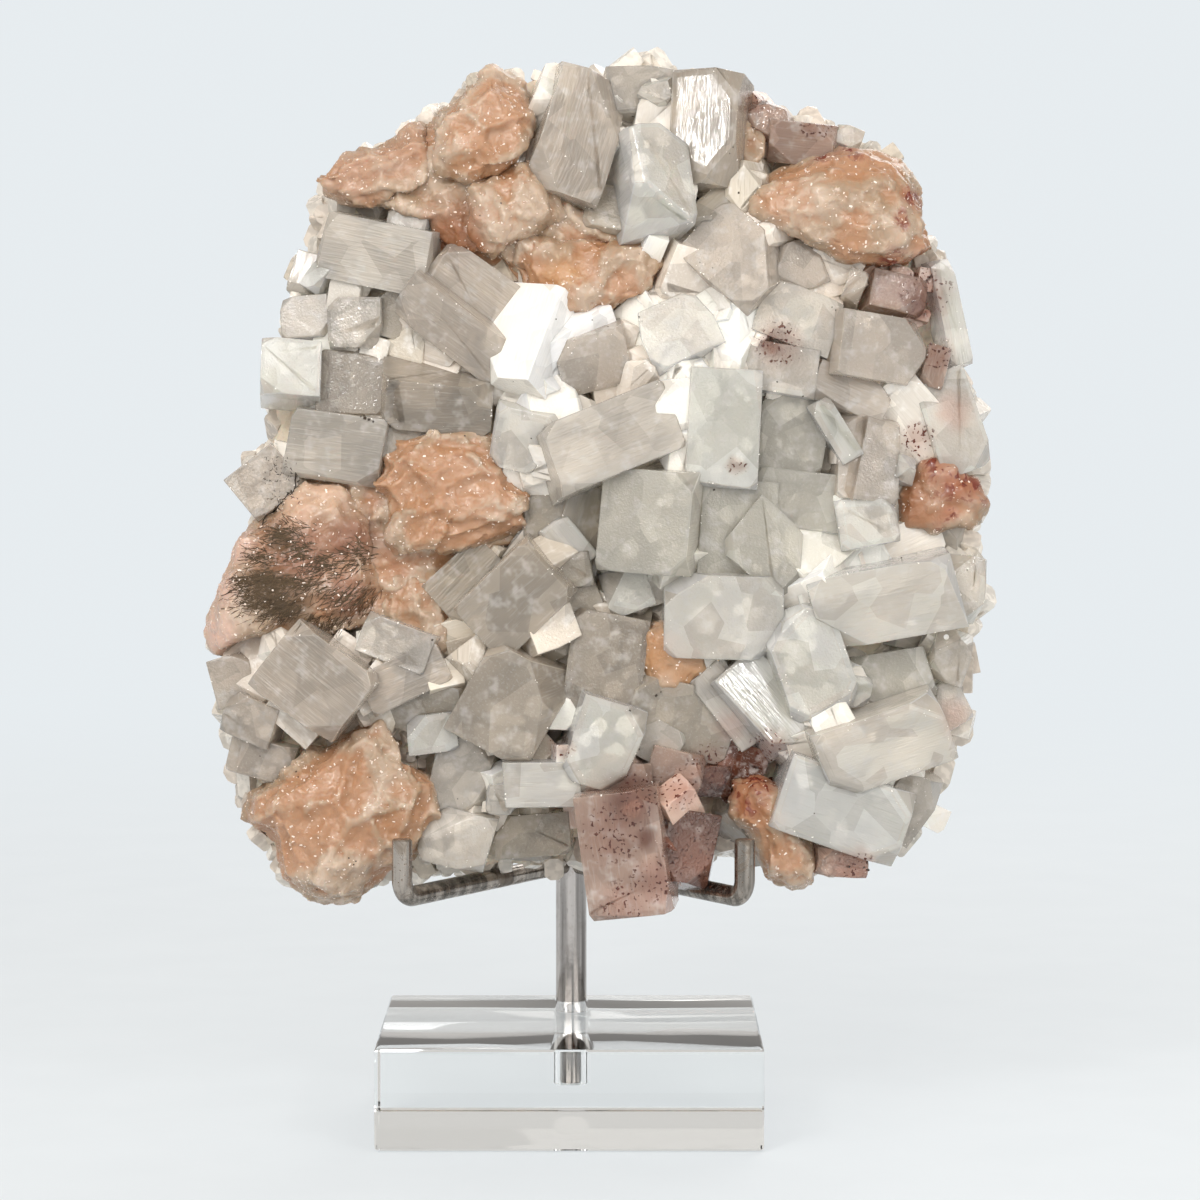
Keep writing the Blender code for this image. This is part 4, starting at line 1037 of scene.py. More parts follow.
def side_growths(rows, tree, outline, cutters):
    """Smaller parallel blocks that grow on the flanks of the large crystals."""
    rng = random.Random(GROWTH_SEED + 2)
    groups = {"side_growths": [], "stained_growths": []}
    for name, row, sway in rows:
        habit, u, v, out, turn, pitch, roll, length, width, depth, _ = row
        small = min(length, width)
        if small < 8.0:
            continue
        for _ in range(rng.randint(*SIDE_COUNT)):
            share = rng.uniform(*SIDE_SHARE)
            if rng.random() < 0.5:
                at = Vector((rng.choice((-0.5, 0.5)) * length, rng.uniform(-0.5, 0.5) * width, 0.0))
            else:
                at = Vector((rng.uniform(-0.5, 0.5) * length, rng.choice((-0.5, 0.5)) * width, 0.0))
            at.z = -rng.uniform(*SIDE_DROP) * min(depth, small)
            size = small * share
            stretch = rng.uniform(1.0, 1.9) if habit == PRISM else rng.uniform(0.8, 1.2)
            own_length = size * stretch
            loose = rng.random() < 0.35
            wobble = 28.0 if loose else 5.0
            spin = face_frame(turn + rng.gauss(0, wobble), pitch + rng.gauss(0, wobble),
                              roll + rng.gauss(0, wobble))
            rotation = growth_lean(u, v, sway) @ spin
            parent = growth_lean(u, v, sway) @ face_frame(turn, pitch, roll)
            centre = place(u, v, out) + parent @ at
            spots = [centre + rotation @ Vector((x * own_length / 2, y * size / 2, 0.0))
                     for x, y in ((0, 0), (1, 1), (1, -1), (-1, 1), (-1, -1))]
            sink = sunk_below(tree, spots)
            if sink > MOST_SINK or not outline(spots):
                continue
            bm = detailed_block(habit, own_length, size, size * 1.3, (size * 0.12,) * 4,
                                TINTS[tint_name(name)], rng)
            centre = centre - NEAR * sink
            for vert in bm.verts:
                vert.co = centre + rotation @ vert.co
            made = mesh_object("side_growth", bm)
            clear_of_stand(made, cutters)
            groups["stained_growths" if is_stained(row) else "side_growths"].append(made)
    return [joined(name, group) for name, group in groups.items()]


FILL_TRIES = 1500
FILL_SIZE = (8.0, 20.0)
FILL_DROP = (0.3, 3.0)
FILL_RING = 8.0
FILL_TILT = 18.0


def level_at(tree, u, v):
    """How far the first surface seen at (u, v) stands out from the face plane."""
    point, _ = seen_at(tree, u, v)
    if point is None:
        return None
    return (point - AIM).dot(NEAR)


VEIL_COUNT = (7, 14)
VEIL_REACH = (0.05, 0.26)
VEIL_DEPTH = (0.06, 0.5)


def inner_veils(rows):
    """Thin healed cracks inside the large crystals, mostly along the cleavage across them."""
    rng = random.Random(GROWTH_SEED + 4)
    pile = Pile()
    for _, row, sway in rows:
        habit, u, v, out, turn, pitch, roll, length, width, depth, _ = row
        small = min(length, width, depth)
        if small < 6.0:
            continue
        parent = growth_lean(u, v, sway) @ face_frame(turn, pitch, roll)
        centre = place(u, v, out)
        cleavage = Vector((0, 0, 1)) if habit == CAP else Vector((1, 0, 0))
        for _ in range(rng.randint(*VEIL_COUNT)):
            at = Vector((rng.uniform(-0.36, 0.36) * length, rng.uniform(-0.36, 0.36) * width,
                         -rng.uniform(*VEIL_DEPTH) * small))
            loose = 0.15 if rng.random() < 0.6 else 1.5
            normal = (cleavage + Vector([rng.gauss(0, loose) for _ in range(3)])).normalized()
            side = normal.orthogonal().normalized()
            other = normal.cross(side)
            reach = small * rng.uniform(*VEIL_REACH)
            corners = []
            for step in range(9):
                angle = 2 * math.pi * step / 9
                away = reach * rng.uniform(0.45, 1.0)
                away = min(away, 0.44 * width - abs(at.y), 0.44 * length - abs(at.x), -at.z - 0.3)
                if away < 0.4:
                    away = 0.4
                bend = normal * rng.uniform(-0.06, 0.06) * reach
                spot = at + (side * math.cos(angle) + other * math.sin(angle)) * away + bend
                corners.append(centre + parent @ spot)
            hub = centre + parent @ at
            faces = [(0, 1 + step, 1 + (step + 1) % 9) for step in range(9)]
            pile.add([hub] + corners, faces, (0.95, 0.92, 0.87))
    return pile.build("inner_veils")


def inside(u, v, rim):
    """Whether a place on the face lies inside an outline."""
    odd = False
    for (u0, v0), (u1, v1) in zip(rim, rim[1:] + rim[:1]):
        if (v0 > v) != (v1 > v) and u < u0 + (v - v0) / (v1 - v0) * (u1 - u0):
            odd = not odd
    return odd


def gap_fill(rows, tree, outline, cutters):
    """Blocks in the gaps, just under the fronts of the crystals round them."""
    rng = random.Random(GROWTH_SEED + 3)
    groups = {"gap_crystals": [], "stained_gap_crystals": []}
    for _ in range(FILL_TRIES):
        u = rng.uniform(-98.0, 98.0)
        v = rng.uniform(-96.0, 108.0)
        if any(inside(u, v, bed[0]) for bed in BEDS.values()):
            continue
        ring = [level_at(tree, u + FILL_RING * math.cos(a), v + FILL_RING * math.sin(a))
                for a in (math.pi * step / 4 for step in range(8))]
        ring = sorted(level for level in ring if level is not None)
        own = level_at(tree, u, v)
        if len(ring) < 6 or (own is not None and own > ring[-2] - 2.5):
            continue
        name, row, sway = min(rows, key=lambda item: math.hypot(item[1][1] - u, item[1][2] - v))
        habit, row_u, row_v, _, turn, pitch, roll = row[:7]
        size = FILL_SIZE[0] + (FILL_SIZE[1] - FILL_SIZE[0]) * rng.random() ** 1.5
        length = size * rng.uniform(1.0, 1.7) if habit == PRISM else size
        spin = face_frame(turn + rng.gauss(0, 2 * FILL_TILT), pitch + rng.gauss(0, FILL_TILT),
                          roll + rng.gauss(0, FILL_TILT))
        rotation = growth_lean(row_u, row_v, sway) @ spin
        centre = place(u, v, ring[-2] - rng.uniform(*FILL_DROP))
        spots = [centre + rotation @ Vector((x * length / 2, y * size / 2, 0.0))
                 for x, y in ((0, 0), (1, 1), (1, -1), (-1, 1), (-1, -1),
                              (1, 0), (0, 1), (-1, 0), (0, -1))]
        if not outline(spots):
            continue
        centre = centre - NEAR * sunk_below(tree, spots)
        if own is not None and (centre - AIM).dot(NEAR) < own + 0.5:
            continue
        bm = detailed_block(habit, length, size, size * 1.6, (size * rng.uniform(0.1, 0.42),) * 4,
                            TINTS[tint_name(name)], rng)
        for vert in bm.verts:
            vert.co = centre + rotation @ vert.co
        made = mesh_object("gap_crystal", bm)
        clear_of_stand(made, cutters)
        stained = is_stained((habit, u, v, 0.0, 0.0, 0.0, 0.0, length, size))
        groups["stained_gap_crystals" if stained else "gap_crystals"].append(made)
    return [joined(name, group) for name, group in groups.items()]


def joined(name, objects):
    """Gather several meshes into one."""
    with bpy.context.temp_override(
            active_object=objects[0], object=objects[0], selected_objects=objects,
            selected_editable_objects=objects):
        bpy.ops.object.join()
    objects[0].name = name
    return objects[0]


def inside_outline(tree):
    """A test that keeps small crystals inside the outline of the cluster."""
    eye = AIM + NEAR * EYE

    def test(spots):
        for spot in spots:
            if tree.ray_cast(eye, (spot - eye).normalized())[0] is None:
                return False
        return True

    return test


DRUSE_FACING = 0.35
# Count, smallest and largest size in mm, and tints of the small crystals on each side
FRONT_DRUSE = (1300, 2.5, 8.0, ("olive", "beige", "grey", "milky"))
SIDE_DRUSE = (650, 2.5, 6.5, ("grey", "beige", "milky", "cream"))
BACK_DRUSE = (900, 1.2, 4.0, ("beige", "grey", "olive", "milky"))


def scatter_druse(plate, tree):
    """Small crystals over the front, the side and the back of the plate."""
    rng = random.Random(5)
    shapes = [block_template(CAP, 1.0, 0.8, 1.6, 0.16), block_template(CAP, 1.0, 1.0, 1.4, 0.3),
              block_template(PRISM, 1.5, 0.8, 0.8, 0.1), block_template(CAP, 0.8, 1.2, 1.5, 0.22)]
    pile = Pile()
    zones = [(lambda p, n: n.dot(NEAR) > DRUSE_FACING, FRONT_DRUSE),
             (lambda p, n: abs(n.dot(NEAR)) <= DRUSE_FACING, SIDE_DRUSE),
             (lambda p, n: n.dot(NEAR) < -DRUSE_FACING, BACK_DRUSE)]
    for keep, (count, small, large, tints) in zones:
        sample = surface_sampler(plate.data, rng, keep)
        for _ in range(count):
            point, normal = sample()
            size = small + (large - small) * rng.random() ** 2
            rotation = turned_to(normal, rng, 0.35)
            points, faces = rng.choice(shapes)
            stand = point + normal * (size * rng.uniform(0.15, 0.9))
            placed = [stand + rotation @ (corner * size) for corner in points]
            shade = rng.uniform(0.74, 0.95)
            tint = [part * shade for part in TINTS[rng.choice(tints)]]
            sink = sunk_below(tree, placed) if normal.dot(NEAR) > DRUSE_FACING else 0.0
            if sink > size:
                continue
            pile.add([spot - NEAR * sink for spot in placed], faces, tint)
    return pile.build("small_crystals")


SUGAR_BLADES = 7500
SUGAR_TINT = (0.86, 0.70, 0.58)


def scatter_sugar(masses):
    """Tiny bright blades on the stilbite."""
    rng = random.Random(8)
    blade = block_template(PRISM, 1.0, 0.5, 0.3, 0.0)
    pile = Pile()
    total = sum(sum(p.area for p in mass.data.polygons) for mass in masses)
    for mass in masses:
        area = sum(p.area for p in mass.data.polygons)
        sample = surface_sampler(mass.data, rng, lambda p, n: n.dot(NEAR) > -0.3)
        for _ in range(int(SUGAR_BLADES * area / total)):
            point, normal = sample()
            size = 0.3 + 0.6 * rng.random() ** 3
            rotation = turned_to(normal, rng, 0.5)
            shade = rng.uniform(0.8, 1.1)
            tint = [part * shade for part in SUGAR_TINT]
            stand = point + normal * (size * 0.1)
            pile.add([stand + rotation @ (corner * size) for corner in blade[0]], blade[1], tint)
    return pile.build("stilbite_sugar")


CRUMB_STRIP = 0.35
CRUMBS_A_MM = 0.05


def scatter_crumbs(crystals):
    """White chips and grains along the edges of the large crystals, and a few on their faces."""
    rng = random.Random(9)
    chip = block_template(CAP, 1.0, 0.7, 0.45, 0.0)
    pile = Pile()
    for obj in crystals:
        mesh = obj.data
        strips = []
        total = 0.0
        for polygon in mesh.polygons:
            corners = [mesh.vertices[i].co / MM for i in polygon.vertices]
            sides = [(b - a).length for a, b in zip(corners, corners[1:] + corners[:1])]
            if polygon.normal.dot(NEAR) < 0.1 or len(corners) != 4 or min(sides) > CRUMB_STRIP:
                continue
            total += max(sides)
            strips.append((total, corners, polygon.normal.copy()))
        limits = [item[0] for item in strips]
        for _ in range(int(total * CRUMBS_A_MM)):
            at = bisect.bisect_left(limits, rng.uniform(0.0, total))
            _, corners, normal = strips[min(at, len(strips) - 1)]
            weights = [rng.random() for _ in corners]
            spot = sum((c * w for c, w in zip(corners, weights)), Vector()) / sum(weights)
            spot += normal * 0.02
            size = 0.1 + 0.38 * rng.random() ** 3
            rotation = turned_to(normal, rng, 0.6)
            shade = rng.uniform(0.7, 0.95)
            tint = (0.95 * shade, 0.92 * shade, 0.87 * shade)
            pile.add([spot + rotation @ (corner * size) for corner in chip[0]], chip[1], tint)
    return pile.build("crystal_crumbs")


# Stand

def swept_rod(route, radius, sides, end_round):
    """A round rod along a route in one upright plane, with softly rounded cut ends."""
    across = (route[-1] - route[0]).cross(Vector((0.0, 0.0, 1.0))).normalized()
    stations = [(point, radius) for point in route]
    first, second = route[0], route[1]
    last, before = route[-1], route[-2]
    stations.insert(0, (first, radius - end_round))
    stations[1] = (first + (second - first).normalized() * end_round, radius)
    stations[-1] = (last + (before - last).normalized() * end_round, radius)
    stations.append((last, radius - end_round))
    bm = bmesh.new()
    rings = []
    for index, (point, reach) in enumerate(stations):
        ahead = stations[min(index + 1, len(stations) - 1)][0]
        behind = stations[max(index - 1, 0)][0]
        up = across.cross(ahead - behind).normalized()
        rings.append([
            bm.verts.new(point + (across * math.cos(a) + up * math.sin(a)) * reach)
            for a in (2 * math.pi * side / sides for side in range(sides))])
    for near_ring, far_ring in zip(rings, rings[1:]):
        for side in range(sides):
            after = (side + 1) % sides
            bm.faces.new((near_ring[side], near_ring[after], far_ring[after], far_ring[side]))
    bm.faces.new(rings[0])
    bm.faces.new(rings[-1])
    return bm


def arm_route(hook_x, steps):
    hub = Vector((0.0, POST_Y, ARM_Z))
    corner = Vector((hook_x, HOOK_Y, ARM_Z))
    along = (corner - hub).normalized()
    rise = Vector((0.0, 0.0, 1.0))
    centre = corner - along * HOOK_BEND + rise * HOOK_BEND
    route = [hub + along * (POST_RADIUS + GAP)]
    for step in range(steps + 1):
        angle = math.pi / 2 * step / steps
        offset = along * math.sin(angle) - rise * math.cos(angle)
        route.append(centre + offset * HOOK_BEND)
    route.append(Vector((hook_x, HOOK_Y, HOOK_TOP_Z)))
    return route


def shaded_metal(obj):
    obj.data.shade_smooth()
    obj.data.set_sharp_from_angle(angle=math.radians(30))
    return obj


def make_arm(name):
    obj = mesh_object(name + "_rod", swept_rod(arm_route(HOOK_X[name], 14), ROD_RADIUS, 40, 0.35))
    return shaded_metal(obj)


def straight_rod(name, start, end, radius, sides, end_round):
    bm = bmesh.new()
    axis = end - start
    bmesh.ops.create_cone(
        bm, cap_ends=True, segments=sides, radius1=radius, radius2=radius, depth=axis.length)
    caps = [edge for edge in bm.edges
            if any(len(face.verts) > 4 for face in edge.link_faces)]
    bmesh.ops.bevel(bm, geom=caps, offset=end_round, segments=2, affect="EDGES")
    turn = Vector((0.0, 0.0, 1.0)).rotation_difference(axis).to_matrix().to_4x4()
    bm.transform(Matrix.Translation((start + end) / 2) @ turn)
    return shaded_metal(mesh_object(name, bm))


def make_post():
    foot = Vector((0.0, POST_Y, BASE_HEIGHT - HOLE_DEPTH + GAP))
    top = Vector((0.0, POST_Y, REST_Z - REST_RADIUS - GAP))
    return straight_rod("post_bar", foot, top, POST_RADIUS, 72, 0.3)


def make_rest():
    reach = Vector((REST_LENGTH / 2, 0.0, 0.0))
    middle = Vector((0.0, REST_Y, REST_Z))
    return straight_rod("back_rest_bar", middle - reach, middle + reach, REST_RADIUS, 48, 0.5)


def make_base():
    bm = bmesh.new()
    bmesh.ops.create_cube(bm, size=1.0)
    bmesh.ops.scale(bm, vec=(BASE_WIDTH, BASE_DEPTH, BASE_HEIGHT), verts=bm.verts)
    bmesh.ops.translate(bm, vec=(0.0, 0.0, BASE_HEIGHT / 2), verts=bm.verts)
    bmesh.ops.bevel(bm, geom=bm.edges[:], offset=1.2, segments=3, affect="EDGES", profile=0.6)
    base = mesh_object("clear_base", bm)
    foot = Vector((0.0, POST_Y, BASE_HEIGHT - HOLE_DEPTH))
    above = Vector((0.0, POST_Y, BASE_HEIGHT + 5.0))
    drill = straight_rod("drill", foot, above, POST_RADIUS + GAP, 64, 0.2)
    boolean(base, drill, "DIFFERENCE")
    apply_modifiers(base)
    discard(drill)
    base.data.shade_smooth()
    base.data.set_sharp_from_angle(angle=math.radians(20))
    return base


def seat_cutters():
    """Fatter rods, which keep the mineral clear of the stand."""
    cutters = [mesh_object("seat", swept_rod(arm_route(x, 10), ROD_RADIUS + GAP, 24, 0.1))
               for x in HOOK_X.values()]
    foot = Vector((0.0, POST_Y, BASE_HEIGHT))
    top = Vector((0.0, POST_Y, REST_Z))
    cutters.append(straight_rod("seat", foot, top, POST_RADIUS + GAP, 32, 0.1))
    reach = Vector((REST_LENGTH / 2 + GAP, 0.0, 0.0))
    middle = Vector((0.0, REST_Y, REST_Z))
    cutters.append(straight_rod("seat", middle - reach, middle + reach, REST_RADIUS + GAP, 32, 0.1))
    return cutters


# Materials

class Graph:
    """Builds the nodes of one material by short calls."""

    def __init__(self, name):
        self.material = bpy.data.materials.new(name)
        self.material.use_nodes = True
        self.tree = self.material.node_tree
        self.shader = self.tree.nodes["Principled BSDF"]
        self.point = self.node("TexCoord", output="Object")

    def set(self, socket, value):
        if isinstance(value, bpy.types.NodeSocket):
            self.tree.links.new(value, socket)
        else:
            socket.default_value = value

    def shade(self, values):
        for name, value in values.items():
            self.set(self.shader.inputs[name], value)

    def node(self, kind, values=None, output=0, **settings):
        made = self.tree.nodes.new("ShaderNode" + kind)
        for key, value in settings.items():
            setattr(made, key, value)
        for key, value in (values or {}).items():
            self.set(made.inputs[key], value)
        return made.outputs[output]

    def math(self, operation, a, b=0.0, clamp=False):
        return self.node("Math", {0: a, 1: b}, operation=operation, use_clamp=clamp)

    def noise(self, vector, scale, detail=2.0, rough=0.5, warp=0.0):
        return self.node("TexNoise", {
            "Vector": vector, "Scale": scale, "Detail": detail, "Roughness": rough,
            "Distortion": warp})

    def ramp(self, value, low, high, start=0.0, end=1.0):
        """Smooth step from start to end while value goes from low to high."""
        return self.node("MapRange", {
            "Value": value, "From Min": low, "From Max": high, "To Min": start, "To Max": end},
            interpolation_type="SMOOTHSTEP")

    def mix(self, factor, a, b, blend="MIX"):
        made = self.tree.nodes.new("ShaderNodeMix")
        made.data_type = "RGBA"
        made.blend_type = blend
        self.set(made.inputs[0], factor)
        self.set(made.inputs[6], a)
        self.set(made.inputs[7], b)
        return made.outputs[2]

    def colour(self, name):
        return self.node("Attribute", attribute_name=name, output="Color")

    def value(self, name):
        return self.node("Attribute", attribute_name=name, output="Fac")

    def stretched(self, vector, scale):
        return self.node("VectorMath", {0: vector, 1: scale}, operation="MULTIPLY")

    def dot(self, a, b):
        return self.node("VectorMath", {0: a, 1: b}, "Value", operation="DOT_PRODUCT")

    def on_face(self, rag, grain):
        """Where a point lies on the face plane, in millimetres, with a ragged shift."""
        aim_u = AIM.dot(RIGHT)
        aim_v = AIM.dot(UP) - FACE_V
        u = self.dot(self.point, RIGHT / MM)
        v = self.dot(self.point, UP / MM)
        flat = self.node("CombineXYZ", {
            "X": self.math("SUBTRACT", u, aim_u), "Y": self.math("SUBTRACT", v, aim_v)})
        shift = self.node(
            "TexNoise", {"Vector": self.point, "Scale": grain, "Detail": 1.0}, "Color")
        centred = self.node("VectorMath", {0: shift, 1: (0.5, 0.5, 0.5)}, operation="SUBTRACT")
        moved = self.stretched(centred, (rag, rag, 0.0))
        return self.node("VectorMath", {0: flat, 1: moved}, operation="ADD")

    def spots(self, where, table):
        """One in the middle of the spots, falling to nothing at their radius."""
        total = 0.0
        for u, v, radius in table:
            away = self.node(
                "VectorMath", {0: where, 1: (u, v, 0.0)}, "Value", operation="DISTANCE")
            spot = self.ramp(away, radius * 1.15, radius * 0.2)
            total = spot if total == 0.0 else self.math("MAXIMUM", total, spot)
        return total

    def in_front(self):
        """One on the viewer's half of the cluster and nothing behind."""
        depth = self.dot(self.point, NEAR / MM)
        return self.ramp(depth, AIM.dot(NEAR) - 14.0, AIM.dot(NEAR) - 4.0)

    def bump(self, height, strength, distance, normal=None):
        values = {"Height": height, "Strength": strength, "Distance": distance}
        if normal is not None:
            values["Normal"] = normal
        return self.node("Bump", values)


def rgb(red, green, blue):
    return (red, green, blue, 1.0)


PALE = rgb(0.97, 0.94, 0.90)
STRAW = rgb(0.95, 0.91, 0.84)
EARTHY = rgb(0.70, 0.62, 0.50)
APOPHYLLITE_IOR = 1.535
FACET_SCALE = 120.0
FACET_LIGHT = (0.86, 1.10)
# Transmission, scattering under the surface, and whether the clear body absorbs light
OUTER_LOOK = (0.62, 0.5, True)
INNER_LOOK = (0.12, 0.25, False)


def crystal_material(name, stained, look):
    """Milky see-through mineral, with wisps, growth streaks and facets of uneven light."""
    clear, milky, absorbs = look
    g = Graph(name)
    grow = g.node("UVMap", uv_map="grow")
    wisps = g.noise(g.point, 240.0, 2.0, 0.7)
    streak = g.noise(g.stretched(grow, (1.5, 0.12, 1.0)), 1.0, 1.0, 0.7)
    cell = g.node("TexVoronoi", {"Vector": g.point, "Scale": FACET_SCALE}, "Color")
    light = g.ramp(cell, 0.25, 0.75, *FACET_LIGHT)
    body = g.mix(
        1.0, g.colour("tint"), g.node("CombineColor", {0: light, 1: light, 2: light}), "MULTIPLY")
    body = g.mix(g.ramp(wisps, 0.50, 0.74, 0.0, 0.55), body, PALE)
    body = g.mix(g.ramp(streak, 0.54, 0.72, 0.0, 0.22), body, PALE)
    body = g.mix(g.ramp(streak, 0.42, 0.28, 0.0, 0.10), body, EARTHY)
    if stained:
        body = stains(g, body)
    rough = g.ramp(wisps, 0.40, 0.72, 0.03, 0.22)
    g.shade({
        "Base Color": body, "Roughness": rough, "IOR": APOPHYLLITE_IOR,
        "Transmission Weight": clear, "Subsurface Weight": milky,
        "Subsurface Radius": (1.0, 1.0, 1.0), "Subsurface Scale": 0.004,
        "Normal": g.bump(streak, 0.3, 0.0005)})
    if absorbs:
        absorb = g.node("VolumeAbsorption", {"Color": STRAW, "Density": 2.0})
        g.tree.links.new(absorb, g.tree.nodes["Material Output"].inputs["Volume"])
    return g.material


def stains(g, body):
    """Pink haze, red dust in dots and dark blotches, each at its places on the face."""
    front = g.in_front()
    ragged = g.on_face(3.0, 260.0)
    pink = g.math("MULTIPLY", g.spots(ragged, PINK_SPOTS), front)
    body = g.mix(g.math("MULTIPLY", pink, 0.45), body, rgb(0.72, 0.42, 0.34))
    dust = g.math("MULTIPLY", g.spots(ragged, DUST_SPOTS), front)
    blotch = g.math("MULTIPLY", g.spots(ragged, BLOTCH_SPOTS), front)
    body = g.mix(g.math("MULTIPLY", blotch, 0.85), body, rgb(0.22, 0.085, 0.05))
    body = g.mix(g.math("MULTIPLY", dust, 0.5), body, rgb(0.42, 0.21, 0.15))
    dots = g.ramp(g.noise(g.point, 1150.0, 1.0, 0.4), 0.60, 0.66)
    dots = g.math("MULTIPLY", dots, g.ramp(dust, 0.05, 0.55))
    return g.mix(dots, body, rgb(0.14, 0.035, 0.02))


def veil_material():
    g = Graph("healed_crack")
    mottle = g.noise(g.point, 700.0, 3.0, 0.6)
    g.shade({
        "Base Color": g.mix(g.ramp(mottle, 0.3, 0.7), rgb(0.85, 0.80, 0.73), rgb(0.98, 0.96, 0.93)),
        "Roughness": g.ramp(mottle, 0.3, 0.7, 0.15, 0.35), "IOR": 1.5})
    return g.material


def small_crystal_material():
    g = Graph("small_apophyllite")
    tint = g.colour("tint")
    cloud = g.noise(g.point, 400.0, 1.0, 0.6)
    light = g.ramp(cloud, 0.3, 0.7, 0.85, 1.12)
    body = g.mix(1.0, tint, g.node("CombineColor", {0: light, 1: light, 2: light}), "MULTIPLY")
    g.shade({
        "Base Color": body, "Roughness": g.ramp(cloud, 0.3, 0.7, 0.15, 0.35), "IOR": 1.535,
                "Normal": g.bump(g.noise(g.point, 1400.0, 2.0), 0.3, 0.0004)})
    return g.material


def plate_material():
    g = Graph("plate_mineral")
    broad = g.noise(g.point, 55.0, 2.0, 0.6, 0.8)
    fine = g.noise(g.point, 480.0, 2.0, 0.7)
    relief = g.value("relief")
    behind = g.math("SUBTRACT", 1.0, g.in_front())
    body = g.mix(g.ramp(broad, 0.35, 0.65), rgb(0.70, 0.60, 0.46), rgb(0.88, 0.79, 0.66))
    pale = g.mix(g.ramp(broad, 0.4, 0.6), rgb(0.72, 0.62, 0.50), rgb(0.86, 0.72, 0.58))
    body = g.mix(behind, body, pale)
    body = g.mix(g.ramp(fine, 0.5, 0.75, 0.0, 0.5), body, rgb(0.72, 0.67, 0.60))
    # Painted shade in the creases and low places of the relief
    body = g.mix(g.ramp(relief, -0.6, -2.4, 0.0, 0.5), body, rgb(0.27, 0.20, 0.13))
    crumb = g.noise(g.point, 1300.0, 1.0, 0.6)
    height = g.math("ADD", g.math("MULTIPLY", fine, 0.7), g.math("MULTIPLY", crumb, 0.3))
    g.shade({
        "Base Color": body, "Roughness": g.ramp(fine, 0.3, 0.7, 0.35, 0.65),
        "Subsurface Weight": 0.2, "Subsurface Scale": 0.003, "Normal": g.bump(height, 0.7, 0.001)})
    return g.material


def stilbite_material():
    g = Graph("stilbite")
    relief = g.value("relief")
    broad = g.noise(g.point, 60.0, 1.0, 0.55, 0.7)
    mottle = g.noise(g.point, 330.0, 2.0, 0.7, 0.4)
    body = g.mix(g.ramp(broad, 0.32, 0.68), rgb(0.33, 0.228, 0.147), rgb(0.45, 0.338, 0.25))
    body = g.mix(g.ramp(mottle, 0.48, 0.70, 0.0, 0.5), body, rgb(0.65, 0.52, 0.41))
    body = g.mix(g.ramp(mottle, 0.45, 0.25, 0.0, 0.25), body, rgb(0.45, 0.20, 0.09))
    # Painted highlight on the raised parts of the relief, and painted shade, deeper orange, in its
    # crevices
    body = g.mix(g.ramp(relief, 0.4, 1.6, 0.0, 0.35), body, rgb(0.69, 0.56, 0.45))
    body = g.mix(g.ramp(relief, -0.3, -1.6, 0.0, 0.55), body, rgb(0.40, 0.16, 0.055))
    patch = g.node("Attribute", attribute_name="patch", output="Alpha")
    body = g.mix(patch, body, g.colour("patch"))
    rust = g.value("rust")
    body = g.mix(g.math("MULTIPLY", rust, 0.5), body, rgb(0.30, 0.075, 0.03))
    dots = g.ramp(mottle, 0.50, 0.58)
    body = g.mix(g.math("MULTIPLY", rust, dots), body, rgb(0.16, 0.03, 0.015))
    g.shade({
        "Base Color": body, "Roughness": g.ramp(mottle, 0.3, 0.7, 0.42, 0.22), "IOR": 1.5,
        "Subsurface Weight": 0.35, "Subsurface Radius": (1.0, 0.55, 0.32),
        "Subsurface Scale": 0.005, "Normal": g.bump(mottle, 0.6, 0.0008)})
    return g.material


def sugar_material():
    g = Graph("stilbite_sugar")
    g.shade({
        "Base Color": g.mix(g.noise(g.point, 500.0), g.colour("tint"), rgb(0.88, 0.79, 0.71)),
        "Roughness": g.ramp(g.noise(g.point, 900.0), 0.3, 0.7, 0.12, 0.35), "IOR": 1.5})
    return g.material


def steel_material(name, colour, tarnish, amount, rough):
    g = Graph(name)
    patches = g.noise(g.point, 150.0, 5.0, 0.7, 0.8)
    # Streaks along the rod: real drawing marks in the bump, and painted reflection in the colour
    drawn_lines_and_reflection = g.noise(g.stretched(g.point, (420.0, 420.0, 9.0)), 1.0, 3.0, 0.6)
    pits = g.ramp(g.noise(g.point, 1500.0, 2.0), 0.62, 0.7)
    dirt = g.math("MULTIPLY", g.ramp(patches, 0.46, 0.66), amount)
    dirt = g.math("MAXIMUM", dirt, g.math("MULTIPLY", pits, amount))
    # Painted reflection: light and dark stripes along the rod, in the metal's colour
    painted_reflection_band = g.ramp(drawn_lines_and_reflection, 0.34, 0.66, 0.35, 1.2)
    metal = g.mix(1.0, colour, g.node("CombineColor", {0: painted_reflection_band, 1: painted_reflection_band, 2: painted_reflection_band}), "MULTIPLY")
    g.shade({
        "Base Color": g.mix(dirt, metal, tarnish),
        "Metallic": g.math("SUBTRACT", 1.0, g.math("MULTIPLY", dirt, 0.5)),
        "Roughness": g.math("ADD", rough, g.math("MULTIPLY", dirt, 0.3)),
        "Normal": g.bump(g.math("SUBTRACT", drawn_lines_and_reflection, dirt), 0.12, 0.0003)})
    return g.material


def acrylic_material():
    g = Graph("clear_acrylic")
    smear = g.noise(g.point, 70.0, 3.0)
    g.shade({
        "Base Color": rgb(0.97, 0.985, 0.985), "Roughness": g.ramp(smear, 0.4, 0.8, 0.01, 0.04),
        "IOR": 1.49, "Transmission Weight": 1.0})
    return g.material


# Small dark things on the face: moss, a dendrite and specks

